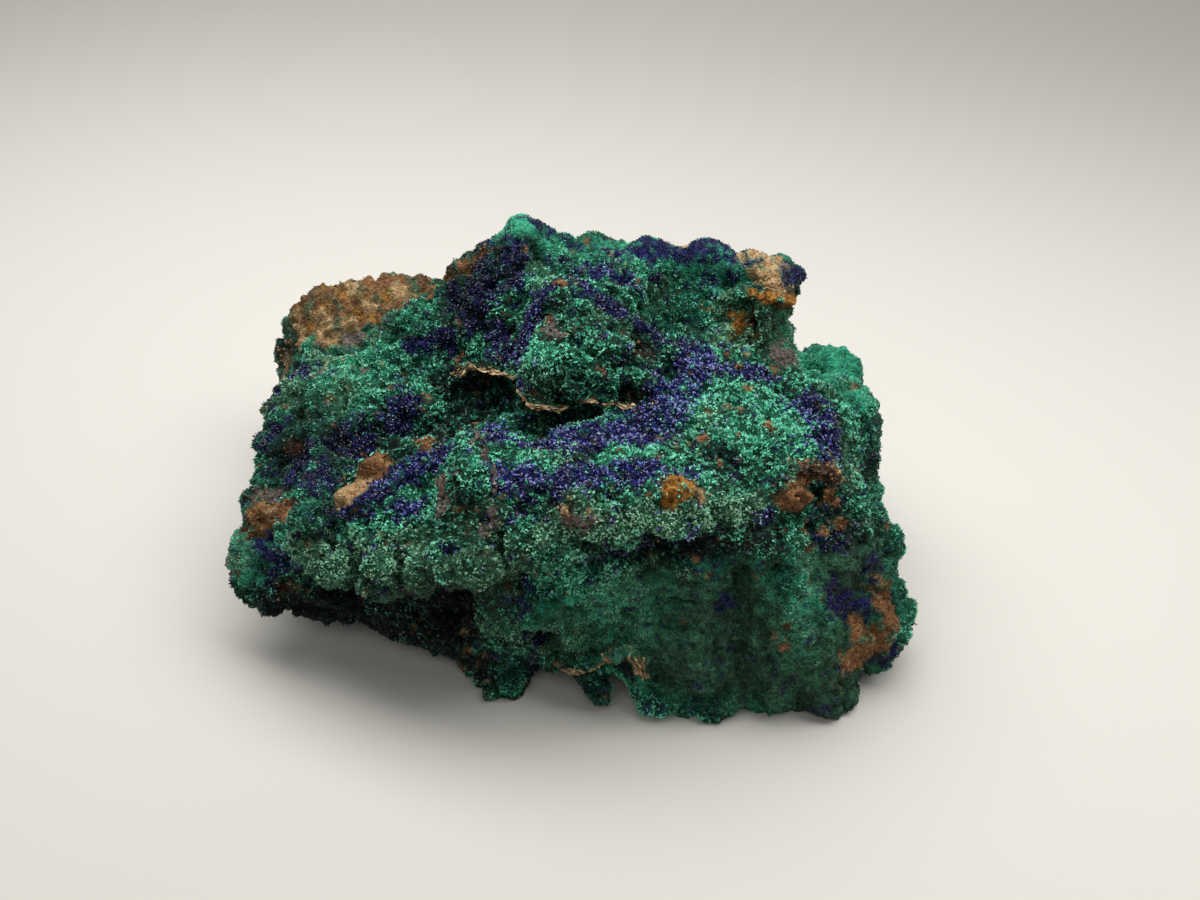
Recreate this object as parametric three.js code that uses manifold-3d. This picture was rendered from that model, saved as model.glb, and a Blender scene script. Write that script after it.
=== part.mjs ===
// A cabinet specimen of azurite and malachite on iron-stained matrix: one natural stone, one closed solid.
// Millimetres, +Z up. The finished part's origin is the centre of its footprint, on the surface it stands on.
//
// The stone is described as a field: a distance in millimetres, negative inside. Rounded masses are blended
// together, hollows are blended away, and layered noise roughens the result. The skin is then drawn where the
// field is zero, and the undersides of the feet are cut off level so that the stone stands without rocking.

import * as THREE from "three";
import { ImprovedNoise } from "three/addons/math/ImprovedNoise.js";
import { mergeVertices } from "three/addons/utils/BufferGeometryUtils.js";
import Module from "manifold-3d";

// Driving dimensions
const CELL = 4.45; // spacing of the grid on which the skin is drawn
const REACH = { x: [-112, 100], y: [-78, 88], z: [-22, 106] }; // the grid's extent
const GROUND = 0; // height of the surface that the stone stands on
const CENTRE = [-8.9, 8.6]; // middle of the footprint in the axes used below, moved to the origin at the end
const ROUGHNESS = [ // [wavelength, height] of each layer of noise
  [34, 3.2],
  [17, 2.2],
  [9.5, 1.1],
];
const CRAG = [24, 3.0]; // [wavelength, height] of the creased noise that makes ledges and clefts
const STEP_MM = 0.5; // how far apart the field is read to find its slope

// ---- The masses of the stone -------------------------------------------------------------------
// mass(centre, radii, turn, blend): an ellipsoid, turned by [about Z, about Y, about X] in degrees.
// rib(from, radius, to, radius, blend): a bar with round ends, for ridges, legs and rims.
// blend is how widely the piece runs into what is there already.

const BODY = [
  // the core of the stone, from the left arm to the right block
  mass([-10, 8, 34], [58, 42, 27], [0, 0, 0], 8),
  mass([34, -4, 28], [38, 38, 26], [-12, 0, 0], 8),
  mass([-50, 14, 34], [40, 36, 20], [8, -4, 0], 8),

  // the back ridge: the peak, its long crest to the right, and the slope down to the left
  rib([-20, 38, 71], 11, [16, 36, 68], 12, 8),
  rib([16, 36, 68], 12, [44, 32, 66], 10, 6),
  mass([-20, 38, 77], [7, 9, 11], [0, 0, 0], 5),
  rib([-21, 36, 70], 10, [-60, 24, 48], 10, 8),
  mass([0, 24, 56], [34, 24, 22], [0, 0, 0], 10),
  mass([32, 24, 50], [24, 24, 18], [0, 0, 0], 8),

  // the cap at the right end of the crest, overhanging its neck
  mass([47, 32, 72], [9, 10, 6], [-12, 8, 0], 3),

  // the lump behind on the left, lower than the slope in front of it
  mass([-75, 52, 41], [20, 19, 18], [18, 0, 0], 8),
  mass([-57, 55, 45], [12, 12, 13], [0, 0, 0], 5),

  // the broken back, one broad face from the lump to the neck of the cap
  mass([-52, 46, 30], [34, 20, 20], [-6, 0, -10], 8),
  mass([-12, 50, 34], [32, 17, 26], [4, 0, -8], 8),
  mass([28, 44, 34], [32, 17, 26], [-8, 0, -12], 8),

  // the left flank and the snout that reaches out past the base
  mass([-73, 12, 38], [16, 24, 14], [0, 0, 0], 8),
  rib([-78, -4, 32], 11, [-88, -22, 24], 8, 6),
  rib([-86, -22, 22], 8, [-86, -26, 19], 6, 4),

  // the front lobes, each a rounded buttress over the recess
  mass([-67, -25, 35], [12, 12, 10], [0, 0, 0], 5),
  mass([-50, -28, 40], [16, 16, 10], [-20, 0, 0], 5),
  rib([-58, -20, 44], 6, [-31, -18, 54], 7, 3),
  rib([-29, -20, 55], 7, [-31, -42, 45], 7, 3),
  mass([-22, -30, 46], [15, 16, 14], [0, 0, 0], 5),

  // the wall at the back of the recess, with its ragged lower rim clear of the ground
  mass([-58, -23, 22], [30, 9, 14], [-12, 0, 0], 4),
  rib([-84, -24, 14], 5, [-58, -30, 12], 5.5, 3),
  rib([-58, -30, 12], 5.5, [-30, -36, 8.5], 6, 3),

  // the shelf, a broad tongue that leans out over the front
  mass([15, -20, 55], [28, 23, 7], [14, 0, 8], 4),
  mass([2, -35, 55.5], [16, 10, 6.5], [0, 0, 4], 4),
  rib([-3, -41, 56], 5, [17, -41, 56], 5, 3),
  rib([17, -41, 56], 5, [44, -22, 52], 5, 3),
  mass([-9, -37, 46], [17, 11, 9], [0, 0, 6], 4),
  mass([38, -2, 50], [23, 19, 9], [26, 0, 0], 6),

  // the knob that stands out from the slope above the shelf
  mass([-5, 9, 64], [14, 13, 12], [0, 0, -14], 3),
  mass([-10, 17, 70], [9, 10, 9], [0, 0, 0], 3),

  // the apron under the shelf, down to the front feet
  mass([14, -30, 28], [34, 18, 25], [0, 0, 0], 8),
  mass([46, -26, 24], [23, 21, 23], [-14, 0, 0], 8),
  mass([-18, -37, 34], [12, 11, 13], [0, -24, 0], 5),
  rib([18, -41, 16], 13, [24, -45, 4], 11, 6),
  rib([50, -38, 18], 15, [54, -42, 4], 11, 6),

  // the right block: terrace at the back, blunt corner at the front
  mass([56, 19, 42], [16, 19, 12], [0, 0, 0], 4),
  mass([63, 12, 43], [9, 13, 9], [0, 0, 0], 3),
  mass([59, -6, 28], [13, 20, 15], [0, 0, 0], 5),
  mass([66, -26, 18], [12, 17, 14], [0, 0, 0], 6),
  mass([73, -31, 11], [7, 11, 9], [0, 0, 0], 4),

  // feet: the leg in the recess, a stub beside it, and broad ones behind
  rib([-24, -34, 20], 10, [-25, -41, 3], 8.5, 4),
  rib([-2, -42, 16], 6, [-2, -46, 5], 3.2, 3),
  mass([-62, 36, 9], [15, 12, 15], [24, 0, 0], 6),
  mass([-14, 50, 8], [17, 10, 14], [-10, 0, 0], 6),
  mass([38, 42, 9], [22, 12, 16], [-18, 0, 0], 6),
];

const HOLLOWS = [
  // the recess under the front lobes, open to the left and to the front
  mass([-60, -50, 14], [40, 16, 23], [-12, 0, 0], 3),
  // under the left arm
  mass([-84, 4, -4], [30, 40, 16], [0, 0, 0], 8),
  // between the feet, underneath
  mass([-20, 0, -6], [58, 34, 14], [0, 0, 0], 6),
  mass([22, -10, -8], [50, 30, 14], [0, 0, 0], 6),
  mass([38, -56, -4], [6, 14, 9], [0, 0, 0], 3),
  // the cleft under the knob, and the one left of it under the broken crust
  mass([-4, -7, 56], [20, 8, 6], [-4, 0, 0], 2),
  mass([-36, 2, 58], [15, 9, 8], [-4, 0, 0], 2),
  // the groove between the left slope and the knob
  rib([-25, 4, 76], 6, [-22, 22, 84], 5, 5),
  // the trough between the left slope and the front lobes
  rib([-42, -6, 57], 8, [-74, -10, 50], 8, 4),
  // the bowl below the crest on the right, and the neck under the cap
  mass([28, 18, 75], [18, 14, 10], [0, 0, 0], 5),
  mass([63, 36, 61], [12, 18, 10], [0, 0, 0], 3),
  // the flank under the right end of the shelf
  mass([75, -6, 37], [7, 8, 10], [0, 0, 0], 4),
  // the shaded face under the lip of the shelf
  mass([26, -51, 45], [32, 15, 7], [-6, 0, 30], 3),
];

const carved = (p) => {
  let d = Infinity;
  for (const piece of BODY) d = blendIn(d, piece.distance(p), piece.blend);
  for (const piece of HOLLOWS) d = -blendIn(-d, piece.distance(p), piece.blend);
  return d;
};

function mass(centre, radii, turn, blend) {
  const [about_z, about_y, about_x] = turn.map(THREE.MathUtils.degToRad);
  const back = new THREE.Matrix4()
    .makeRotationFromEuler(new THREE.Euler(about_x, about_y, about_z, "ZYX"))
    .setPosition(...centre)
    .invert();
  const r = new THREE.Vector3(...radii);
  const local = new THREE.Vector3();
  const distance = (p) => {
    local.copy(p).applyMatrix4(back).divide(r);
    const out = local.length();
    return (out * (out - 1)) / Math.max(local.divide(r).length(), 1e-6);
  };
  return { distance, blend };
}

function rib(from, from_radius, to, to_radius, blend) {
  const line = new THREE.Line3(new THREE.Vector3(...from), new THREE.Vector3(...to));
  const nearest = new THREE.Vector3();
  const distance = (p) => {
    const along = line.closestPointToPointParameter(p, true);
    line.at(along, nearest);
    return nearest.distanceTo(p) - THREE.MathUtils.lerp(from_radius, to_radius, along);
  };
  return { distance, blend };
}

// The smaller of two distances, with a fillet of about this width where they meet.
function blendIn(a, b, width) {
  const overlap = Math.max(width - Math.abs(a - b), 0) / width;
  return Math.min(a, b) - (overlap * overlap * width) / 4;
}

// ---- Roughness ---------------------------------------------------------------------------------

const noise = new ImprovedNoise();

function roughness(p) {
  let height = 0;
  for (const [wave, size] of ROUGHNESS)
    height += size * noise.noise(p.x / wave + size, p.y / wave - size, p.z / wave);
  const [wave, size] = CRAG;
  const crease = noise.noise(p.x / wave + 7.3, p.y / wave, p.z / wave + 2.1);
  return height + size * (1 - 4 * Math.abs(crease)) * 0.5;
}

const field = (p) => carved(p) - roughness(p);

// ---- The skin ----------------------------------------------------------------------------------

const ALL_CORNERS = [0, 1, 2, 3, 4, 5, 6, 7];
const CORNERS = ALL_CORNERS.map((n) => [n & 1, (n >> 1) & 1, n >> 2]);
const EDGES = ALL_CORNERS.flatMap((n) => [1, 2, 4].filter((s) => !(n & s)).map((s) => [n, n | s]));

// Naive surface nets: one vertex in each grid cell that the skin passes through, at the mean of the points
// where it crosses the cell's edges, and one quad round each grid edge that it crosses.
function skin(field) {
  const axes = [REACH.x, REACH.y, REACH.z];
  const count = axes.map(([low, high]) => Math.ceil((high - low) / CELL) + 1);
  const at = (i, j, k) => i + count[0] * (j + count[1] * k);
  const corner = (i, j, k) =>
    new THREE.Vector3(axes[0][0] + i * CELL, axes[1][0] + j * CELL, axes[2][0] + k * CELL);

  const values = new Float32Array(count[0] * count[1] * count[2]);
  for (let k = 0; k < count[2]; k++)
    for (let j = 0; j < count[1]; j++)
      for (let i = 0; i < count[0]; i++) values[at(i, j, k)] = field(corner(i, j, k));
  fillPinches(values, count);

  const vertices = [];
  const vertex_of = new Map();
  for (let k = 0; k < count[2] - 1; k++)
    for (let j = 0; j < count[1] - 1; j++)
      for (let i = 0; i < count[0] - 1; i++) {
        const value = CORNERS.map(([a, b, c]) => values[at(i + a, j + b, k + c)]);
        const crossed = EDGES.filter(([a, b]) => value[a] < 0 !== value[b] < 0);
        if (!crossed.length) continue;
        const middle = new THREE.Vector3();
        for (const [a, b] of crossed) {
          const from = corner(i + CORNERS[a][0], j + CORNERS[a][1], k + CORNERS[a][2]);
          const to = corner(i + CORNERS[b][0], j + CORNERS[b][1], k + CORNERS[b][2]);
          middle.add(from.lerp(to, value[a] / (value[a] - value[b])));
        }
        vertex_of.set(at(i, j, k), vertices.length / 3);
        vertices.push(...onto(middle.divideScalar(crossed.length), field));
      }

  const triangles = [];
  const step = [1, count[0], count[0] * count[1]];
  for (let k = 1; k < count[2] - 1; k++)
    for (let j = 1; j < count[1] - 1; j++)
      for (let i = 1; i < count[0] - 1; i++)
        for (let axis = 0; axis < 3; axis++) {
          const here = at(i, j, k);
          const inside = values[here] < 0;
          if (inside === values[here + step[axis]] < 0) continue;
          const u = step[(axis + 1) % 3];
          const v = step[(axis + 2) % 3];
          const ring = [here, here - u, here - u - v, here - v].map((cell) => vertex_of.get(cell));
          if (!inside) ring.reverse();
          const [a, b, c, d] = ring;
          if (gap(vertices, a, c) < gap(vertices, b, d)) triangles.push(a, b, c, a, c, d);
          else triangles.push(a, b, d, b, c, d);
        }
  return { vertices, triangles };
}

// Fills in each place where the stone would touch itself only along an edge or at a point, which no solid may:
// wherever the inside corners of a cell, or the outside ones, aren't all joined by edges of the cell, its
// nearest outside corner is taken into the stone.
function fillPinches(values, count) {
  const step = [1, count[0], count[0] * count[1]];
  const offset = CORNERS.map(([a, b, c]) => a * step[0] + b * step[1] + c * step[2]);
  const joined = (corners) => {
    const reached = corners.slice(0, 1);
    for (const n of reached)
      for (const bit of [1, 2, 4])
        if (corners.includes(n ^ bit) && !reached.includes(n ^ bit)) reached.push(n ^ bit);
    return reached.length === corners.length;
  };
  const faces = [1, 2, 4].flatMap((bit) => [0, bit].map((side) => [bit, side]));
  const split = (inside) => {
    const outside = ALL_CORNERS.filter((n) => !inside.includes(n));
    const checkered = faces.some(([bit, side]) => {
      const here = inside.filter((n) => (n & bit) === side);
      return here.length === 2 && !joined(here);
    });
    return checkered || !joined(inside) || !joined(outside);
  };
  for (let changed = true; changed; ) {
    changed = false;
    for (let cell = 0; cell < values.length - offset[7]; cell++) {
      const inside = ALL_CORNERS.filter((n) => values[cell + offset[n]] < 0);
      if (!inside.length || inside.length === 8 || !split(inside)) continue;
      const outside = offset.map((o) => cell + o).filter((c) => values[c] >= 0);
      const nearest = outside.reduce((a, b) => (values[b] < values[a] ? b : a));
      values[nearest] = -0.05 * CELL;
      changed = true;
    }
  }
}

// Moves a point towards where the field is zero, by no more than a third of a cell.
function onto(p, field) {
  const read = (x, y, z) => field(new THREE.Vector3(p.x + x, p.y + y, p.z + z));
  const here = read(0, 0, 0);
  const slope = new THREE.Vector3(
    read(STEP_MM, 0, 0) - here,
    read(0, STEP_MM, 0) - here,
    read(0, 0, STEP_MM) - here,
  ).divideScalar(STEP_MM);
  const move = THREE.MathUtils.clamp(here / Math.max(slope.length(), 0.3), -CELL / 3, CELL / 3);
  return p.addScaledVector(slope.normalize(), -move).toArray();
}

function gap(vertices, a, b) {
  return Math.hypot(...[0, 1, 2].map((n) => vertices[3 * a + n] - vertices[3 * b + n]));
}

// ---- Solids ------------------------------------------------------------------------------------

const wasm = await Module();
wasm.setup();

const solidOf = (vertices, triangles) =>
  new wasm.Manifold(
    new wasm.Mesh({
      numProp: 3,
      vertProperties: new Float32Array(vertices),
      triVerts: new Uint32Array(triangles),
    }),
  );

function solidFrom(geometry) {
  const plain = geometry.clone().deleteAttribute("normal").deleteAttribute("uv");
  const merged = mergeVertices(plain, 1e-3);
  return solidOf(merged.attributes.position.array, merged.index.array);
}

function geometryOf(solid) {
  const mesh = solid.getMesh();
  return new THREE.BufferGeometry()
    .setAttribute("position", new THREE.BufferAttribute(mesh.vertProperties, 3))
    .setIndex(new THREE.BufferAttribute(mesh.triVerts, 1));
}

// The largest of the separate bodies in a solid: noise can leave crumbs beside the stone.
const largest = (solid) =>
  solid.decompose().reduce((best, body) => (body.volume() > best.volume() ? body : best));

// Everything below the standing surface, as a slab to cut away.
function belowGround() {
  const depth = 40;
  const slab = new THREE.BoxGeometry(400, 400, depth).translate(0, 0, GROUND - depth / 2);
  return solidFrom(slab);
}

const { vertices, triangles } = skin(field);
const stone = largest(solidOf(vertices, triangles).subtract(belowGround()));

const specimen = new THREE.Mesh(
  geometryOf(stone),
  new THREE.MeshStandardMaterial({ color: 0x1f6b50, roughness: 0.85, metalness: 0 }),
);
specimen.name = "specimen";
specimen.position.set(-CENTRE[0], -CENTRE[1], 0);

const part = new THREE.Group();
part.add(specimen);

export default part;
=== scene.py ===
"""A cabinet specimen: malachite and azurite crusts grown over iron-stained rock.

The stone is one skin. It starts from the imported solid, to which lumps are added, out of which hollows
are cut, and on which the broken edges of thin crusts are laid. Each point of the skin knows which
minerals it carries, and crystals of those minerals are sown over it: malachite grains, azurite prisms
and crumbs of rock. Lengths are in millimetres until a mesh is made.
"""

import math

import bpy
import numpy as np
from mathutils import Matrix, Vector


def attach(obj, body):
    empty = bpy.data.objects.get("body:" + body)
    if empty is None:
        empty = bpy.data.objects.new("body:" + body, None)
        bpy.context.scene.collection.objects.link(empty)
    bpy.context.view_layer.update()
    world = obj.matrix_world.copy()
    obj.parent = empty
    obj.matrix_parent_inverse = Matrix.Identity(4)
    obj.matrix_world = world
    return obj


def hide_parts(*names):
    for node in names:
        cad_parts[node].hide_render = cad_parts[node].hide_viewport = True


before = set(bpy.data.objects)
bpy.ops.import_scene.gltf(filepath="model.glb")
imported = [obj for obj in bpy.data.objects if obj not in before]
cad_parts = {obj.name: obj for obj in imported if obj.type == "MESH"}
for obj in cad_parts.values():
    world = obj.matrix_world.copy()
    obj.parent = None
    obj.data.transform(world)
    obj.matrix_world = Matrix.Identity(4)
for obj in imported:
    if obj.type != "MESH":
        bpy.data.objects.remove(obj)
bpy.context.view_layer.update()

MM = 0.001
ROUGH_STEP = 1.2  # spacing of the vertices while the stone is built up and cut
SKIN_STEP = 1.0  # spacing of the finished skin's vertices
RESTING = 0.6  # skin lower than this rests on the ground
GROUND = 0.05  # the lowest height of a crystal's corner
RIM_BAND = 2.8  # how far from the path of a rim the relief stays plain


# ---- Noise -------------------------------------------------------------------------------------

CORNERS = np.array([[i, j, k] for i in (0, 1) for j in (0, 1) for k in (0, 1)])
NEIGHBOURS = np.array([[i, j, k] for i in (-1, 0, 1) for j in (-1, 0, 1) for k in (-1, 0, 1)])


def hashed(cells, seed):
    """A number from 0 to 1 for each row of three whole numbers: each is multiplied by a large prime, the
    products are mixed by shifts and exclusive ors, and the low 24 bits are kept."""
    x, y, z = (cells[..., n].astype(np.uint32) for n in range(3))
    mixed = x * np.uint32(73856093) ^ y * np.uint32(19349663) ^ z * np.uint32(83492791)
    mixed = mixed ^ np.uint32(seed * 2654435761 % 2**32)
    for shift, prime in ((15, 739982445), (12, 695872825)):
        mixed = (mixed ^ (mixed >> np.uint32(shift))) * np.uint32(prime)
    return ((mixed ^ (mixed >> np.uint32(15))) & np.uint32(0xFFFFFF)) / 0xFFFFFF


def noise(points, wave, seed):
    """Smooth noise from about -1 to 1. At each corner of the cell that a point is in, a random slope
    times the way from the corner; their mean is weighted by a fade that is level at both ends."""
    at = points / wave + 0.37
    low = np.floor(at).astype(np.int64)
    part = at - low
    fade = part**3 * (part * (part * 6 - 15) + 10)
    total = np.zeros(len(points))
    for corner in CORNERS:
        slope = np.stack([hashed(low + corner, seed + n) for n in (0, 101, 202)], -1) * 2 - 1
        weight = np.where(corner, fade, 1 - fade).prod(-1)
        total += weight * ((part - corner) * slope).sum(-1)
    return total * 1.7


def layered(points, waves, seed):
    """The sum of noises of several wavelengths, each with a height in proportion to its wavelength,
    over the sum of the heights."""
    total = sum(wave * noise(points, wave, seed + 7 * n) for n, wave in enumerate(waves))
    return total / sum(waves)


def knobs(points, wave, seed):
    """Rounded knobs side by side: 1 at the middle of each, falling to 0 where it meets its neighbours.
    It is 1 less the square of the distance to the nearest of points strewn one to a cell."""
    at = points / wave
    low = np.floor(at).astype(np.int64)
    nearest = np.full(len(points), 9.0)
    for step in NEIGHBOURS:
        cell = low + step
        strewn = cell + np.stack([hashed(cell, seed + n) for n in (3, 104, 205)], -1)
        nearest = np.minimum(nearest, ((at - strewn) ** 2).sum(-1))
    return np.clip(1 - nearest, 0, 1)


def clefts(points, wave, seed, width=0.22):
    """Narrow clefts along the sheets where noise passes through zero: 1 on a sheet, 0 at width from
    it."""
    return (1 - np.clip(np.abs(noise(points, wave, seed)) / width, 0, 1)) ** 2


def stirred(points, reach, wave, seed):
    """The points, each moved by up to about reach by three noises, so that a pattern on them loses its
    grid."""
    return points + reach * np.stack([noise(points, wave, seed + n) for n in range(3)], -1)


# ---- Places on the stone -----------------------------------------------------------------------


def spot(x, y, z, radius):
    """A round place: its middle twice over, and its radius."""
    return np.array((x, y, z), float), np.array((x, y, z), float), radius


def streak(start, end, radius):
    """A long place with round ends: its two ends, and its radius."""
    return np.array(start, float), np.array(end, float), radius


def trail(points, radius):
    """A streak between each two neighbouring points of a path."""
    return [streak(start, end, radius) for start, end in zip(points[:-1], points[1:])]


def nearness(points, places):
    """1 on the middle line of the nearest place, 0 at its edge and less beyond: 1 less the distance
    from the line over the place's radius, at its largest over the places."""
    best = np.full(len(points), -9.0)
    for start, end, radius in places:
        along = end - start
        share = np.clip((points - start) @ along / max(along @ along, 1e-9), 0, 1)
        away = np.linalg.norm(points - start - share[:, None] * along, axis=1)
        best = np.maximum(best, 1 - away / radius)
    return best


def smooth_step(low, high, value):
    """0 below low, 1 above high, and an S between them: 3 t squared less 2 t cubed."""
    t = np.clip((value - low) / (high - low), 0, 1)
    return t * t * (3 - 2 * t)


# ---- The forms of the stone --------------------------------------------------------------------

LUMPS = {  # centre, radii, turn about Z in degrees, how knobbly, how square (2 is round), mineral
    "peak": ((-12.5, 31, 85.5), (4, 5.5, 4), 0, 0.1, 2, None),
    "knob's crown": ((1, 7, 78), (9, 5, 3), -10, 0.25, 2, None),
    "knob's left cheek": ((-4, -6.5, 66), (7, 6.5, 6), 0, 0.25, 2, None),
    "knob's brow": ((7, -9, 71), (9, 6, 5), 0, 0.3, 2, None),
    "knob's jaw": ((9, -13, 67), (9, 5, 4), 8, 0.3, 2, None),
    "knob's right cheek": ((18, -9, 66), (6, 7, 5), 0, 0.35, 2, None),
    "terrace back": ((69.5, 13.5, 52.6), (10, 6.4, 6.2), 0, 0.3, 2, None),
    "right shoulder": ((80.6, -1, 40), (4, 5.4, 5.4), 0, 0.3, 2, None),
    "right flank": ((79.8, -31, 26), (4.6, 6, 7), 0, 0.3, 2, None),
    "terrace edge": ((76, 0, 48.5), (5, 8, 6), 0, 0.3, 2, None),
    "rust block": ((54.5, -41, 53.8), (3.5, 2.8, 2.9), 15, 0.1, 5, "rust"),
    "nub on the lip": ((3, -53.4, 60), (4, 3.4, 4.4), 0, 0.35, 2.4, None),
    "ochre lump": ((25.5, -50, 60.4), (2.2, 2.4, 2.4), 10, 0.35, 3, "ochre"),
    "ochre lump behind it": ((26.8, -48, 62.6), (2.4, 2.4, 2.2), 40, 0.35, 3, "ochre"),
    "cream chip": ((30.8, -49, 59.6), (1.2, 1.1, 3.2), 20, 0.15, 4, "tan"),
    "lobe under the lip": ((-3, -53, 50), (11, 6, 6), 4, 0.3, 2, None),
    "lobe at its left": ((-22, -55, 47), (8, 6, 6), -10, 0.3, 2, None),
    "first hanging lobe": ((-31, -53, 41.5), (8, 5.5, 6), 0, 0.3, 2, None),
    "second hanging lobe": ((-42, -50, 38), (7.5, 5, 7), 0, 0.3, 2, None),
    "third hanging lobe": ((-53, -46, 36.5), (7.5, 5, 7), 0, 0.3, 2, None),
    "arm's end": ((-60, -40, 42.5), (5.5, 4.6, 7.5), 0, 0.15, 2, None),
    "column on the arm": ((-20, -38, 56), (5.5, 12, 7.5), 4, 0.2, 2.6, None),
    "apron's left foot": ((-5, -50, 12.5), (8, 5, 5), 0, 0.35, 2, None),
    "stub": ((8.5, -57, 4), (3.4, 3, 4.6), 0, 0.3, 2, None),
    "tan rock in the trough": ((-49, -36, 49.5), (4.6, 3.2, 3), 25, 0.2, 4, "tan"),
    "brown rock in the trough": ((-45, -30, 52), (3.6, 3, 3.4), 10, 0.2, 3, "rust"),
    "left shoulder": ((-75, 9, 45.5), (6, 7, 5.5), 0, 0.35, 2, None),
    "snout tip": ((-80, -31, 27), (5, 6, 5.5), 0, 0.35, 2, None),
    "snout's upper step": ((-75, -26, 35), (6, 4, 4), 30, 0.3, 3, None),
    "corner of the right block": ((79, -45, 15), (5.5, 5.5, 6), 0, 0.35, 2, None),
    "spur below the corner": ((80.5, -47, 6), (6, 5, 4.5), 15, 0.4, 2, None),
    "back crag": ((-60, 49, 54.4), (10, 5, 3.4), -10, 0.35, 3, None),
    "back crag's end": ((-46, 52, 54.8), (5, 4, 3.2), 10, 0.3, 3, "rust"),
}

HOLLOWS = {  # centre, radii, turn about Z in degrees, how knobbly
    "under the knob": ((3, -15, 58.5), (11, 6, 2.6), 5, 0.15),
    "under the left crust": ((-24, -4, 56), (12, 9, 6.5), 0, 0.15),
    "pit": ((46.5, 9.5, 67.5), (5.2, 4.6, 5.4), 0, 0.25),
    "neck": ((60, 9, 67), (6, 6, 7.5), 0, 0.1),
    "right of the neck": ((66, 20, 67.6), (7.6, 9, 8.6), 0, 0.1),
    "notch in the right side": ((84.6, -19, 40), (5, 8, 7), 0, 0.1),
    "low on the right": ((91, -46, 14), (4.6, 6, 6), 0, 0.1),
    "right of the foot": ((85.4, -50, 4), (5, 5, 5), 0, 0.1),
    "under the lip": ((22, -58, 47.5), (22, 7, 4.5), 8, 0.15),
    "under the brow": ((62, -38, 51), (4.6, 6, 3.8), 20, 0.15),
    "under the apron's ledge": ((13.5, -64, 14), (4.4, 6, 5.5), 0, 0.2),
    "under the hanging lobes": ((-44, -52, 24), (20, 9, 7), 12, 0.2),
    "under the first lobe": ((-34, -54, 27.5), (9, 7, 7.5), 0, 0.2),
    "trough": ((-42, -16, 55.5), (15, 8.5, 9.5), 20, 0.3),
    "cleft left of the column": ((-31.5, -40, 55), (2.4, 7, 6), 8, 0.2),
    "hole in the knob": ((19, -4, 71.5), (3.2, 5, 3), 0, 0.3),
    "hole in the knob's cheek": ((15.5, -15, 64.5), (3.6, 4.5, 3.2), 0, 0.3),
    "hollow beside the knob": ((26, -5, 65.5), (4, 5, 4.4), 0, 0.3),
    "cleft left of the first lobe": ((-37, -52, 44), (2.4, 7, 8), 10, 0.2),
    "cleft left of the second lobe": ((-48.5, -50, 41), (2.2, 6, 7), 10, 0.2),
    "cleft right of the arm's end": ((-54.5, -44, 44), (1.8, 4, 8), 10, 0.2),
    "cleft by the pale seam": ((-13, -55, 50), (1.8, 5, 6), 0, 0.2),
    "gully in the apron": ((40, -63, 12), (3, 4, 12), 0, 0.2),
}

SEAM = "buff"  # the mineral of the thin seams, which stand up out of the skin

RIMS = {  # points along the broken edge of a thin crust, its reach across, its thickness, mineral
    "under the knob": ([(-11.5, -7, 61.8), (-10, -10.5, 61.6), (-8, -13, 61.2), (-5.5, -14.5, 60.9),
                        (-2, -15.3, 61), (0.5, -15.6, 62)], 2.2, 0.55, "tan"),
    "under the knob's right": ([(3, -16, 63.6), (6.5, -17, 64.8), (10, -18, 64.4), (14, -18.5, 63.9),
                                (17.5, -17.8, 63)], 1.5, 0.5, "tan"),
    "left of the knob": ([(-31, 3, 59), (-28, 1.5, 61.2), (-25, 0.5, 62.6), (-22.5, 0.5, 62.9),
                          (-19, -0.5, 62.8), (-16, -1.5, 62.7), (-12.5, -3.5, 63)], 2.4, 0.55, "tan"),
    "arch of the knob": ([(-10.5, -8, 63), (-10, -4.5, 68.3), (-9.7, 0, 72), (-7.5, 4, 77), (-4, 7.5, 80.2),
                          (-0.5, 9, 81.3), (3, 9, 80.6), (6.5, 7, 79.2), (11.5, 4, 77.3), (16.5, 2.2, 75),
                          (21.5, 3, 71.2), (26, 4, 67.5)], 1.5, 1.3, "azurite"),
    "round the pit": ([(40.5, 18, 71), (43, 18, 72.6), (47.5, 17, 75), (51, 15, 73.5), (52.2, 12, 70),
                       (52.3, 9, 66.2), (53, 6.5, 62.5)], 2.2, 1.4, "pale"),
    "under the cap": ([(49, 15.5, 76), (52.5, 14, 75.4), (56, 13.5, 74.4), (59, 15, 72.9), (61, 18.5, 72)],
                      1.8, 0.6, "ochre"),
    "ridge": ([(-40, 36, 62), (-36, 34.5, 65.8), (-31, 33, 69.8), (-26, 32.5, 73.2), (-20, 32, 79),
               (-15, 31.5, 85.4)], 5, 2.6, None),
    "brow over the rust block": ([(49, -39, 56.6), (52, -38, 58.4), (55, -36, 58.6), (58.5, -34, 57.8),
                                  (62, -32.5, 55.6), (64.5, -32, 53.2), (65.5, -33, 51)],
                                 2.2, 0.8, "umber"),
    "ledge of the apron": ([(-1, -56, 12), (3, -58, 13.6), (6.5, -59, 15.2), (10, -60, 18.8),
                            (12.5, -60.5, 22), (15.5, -61, 23.8), (17.3, -61.5, 23), (18.2, -62, 19.5),
                            (19.5, -62, 15.5)], 1.9, 0.8, "tan"),
    "seam on the lobe": ([(-21, -25, 60.8), (-19, -32, 60.8), (-17.3, -40, 59.4), (-16, -48, 57)],
                         0.9, 1.5, SEAM),
    "seam beside it": ([(-28.5, -36, 56.4), (-27, -43, 54.6), (-26.3, -49, 51.6)], 1.0, 1.3, SEAM),
    "arm's upper edge": ([(-54, -41, 48), (-51, -41, 49.4), (-46, -40, 51.5), (-40, -37, 54),
                          (-34, -33, 56.5)], 1.6, 1.3, "azurite"),
}

BROKEN = {"tan": 0.0, SEAM: 0.5, "umber": 1.0}  # what a bare broken edge may be made of, and its tint

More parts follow.
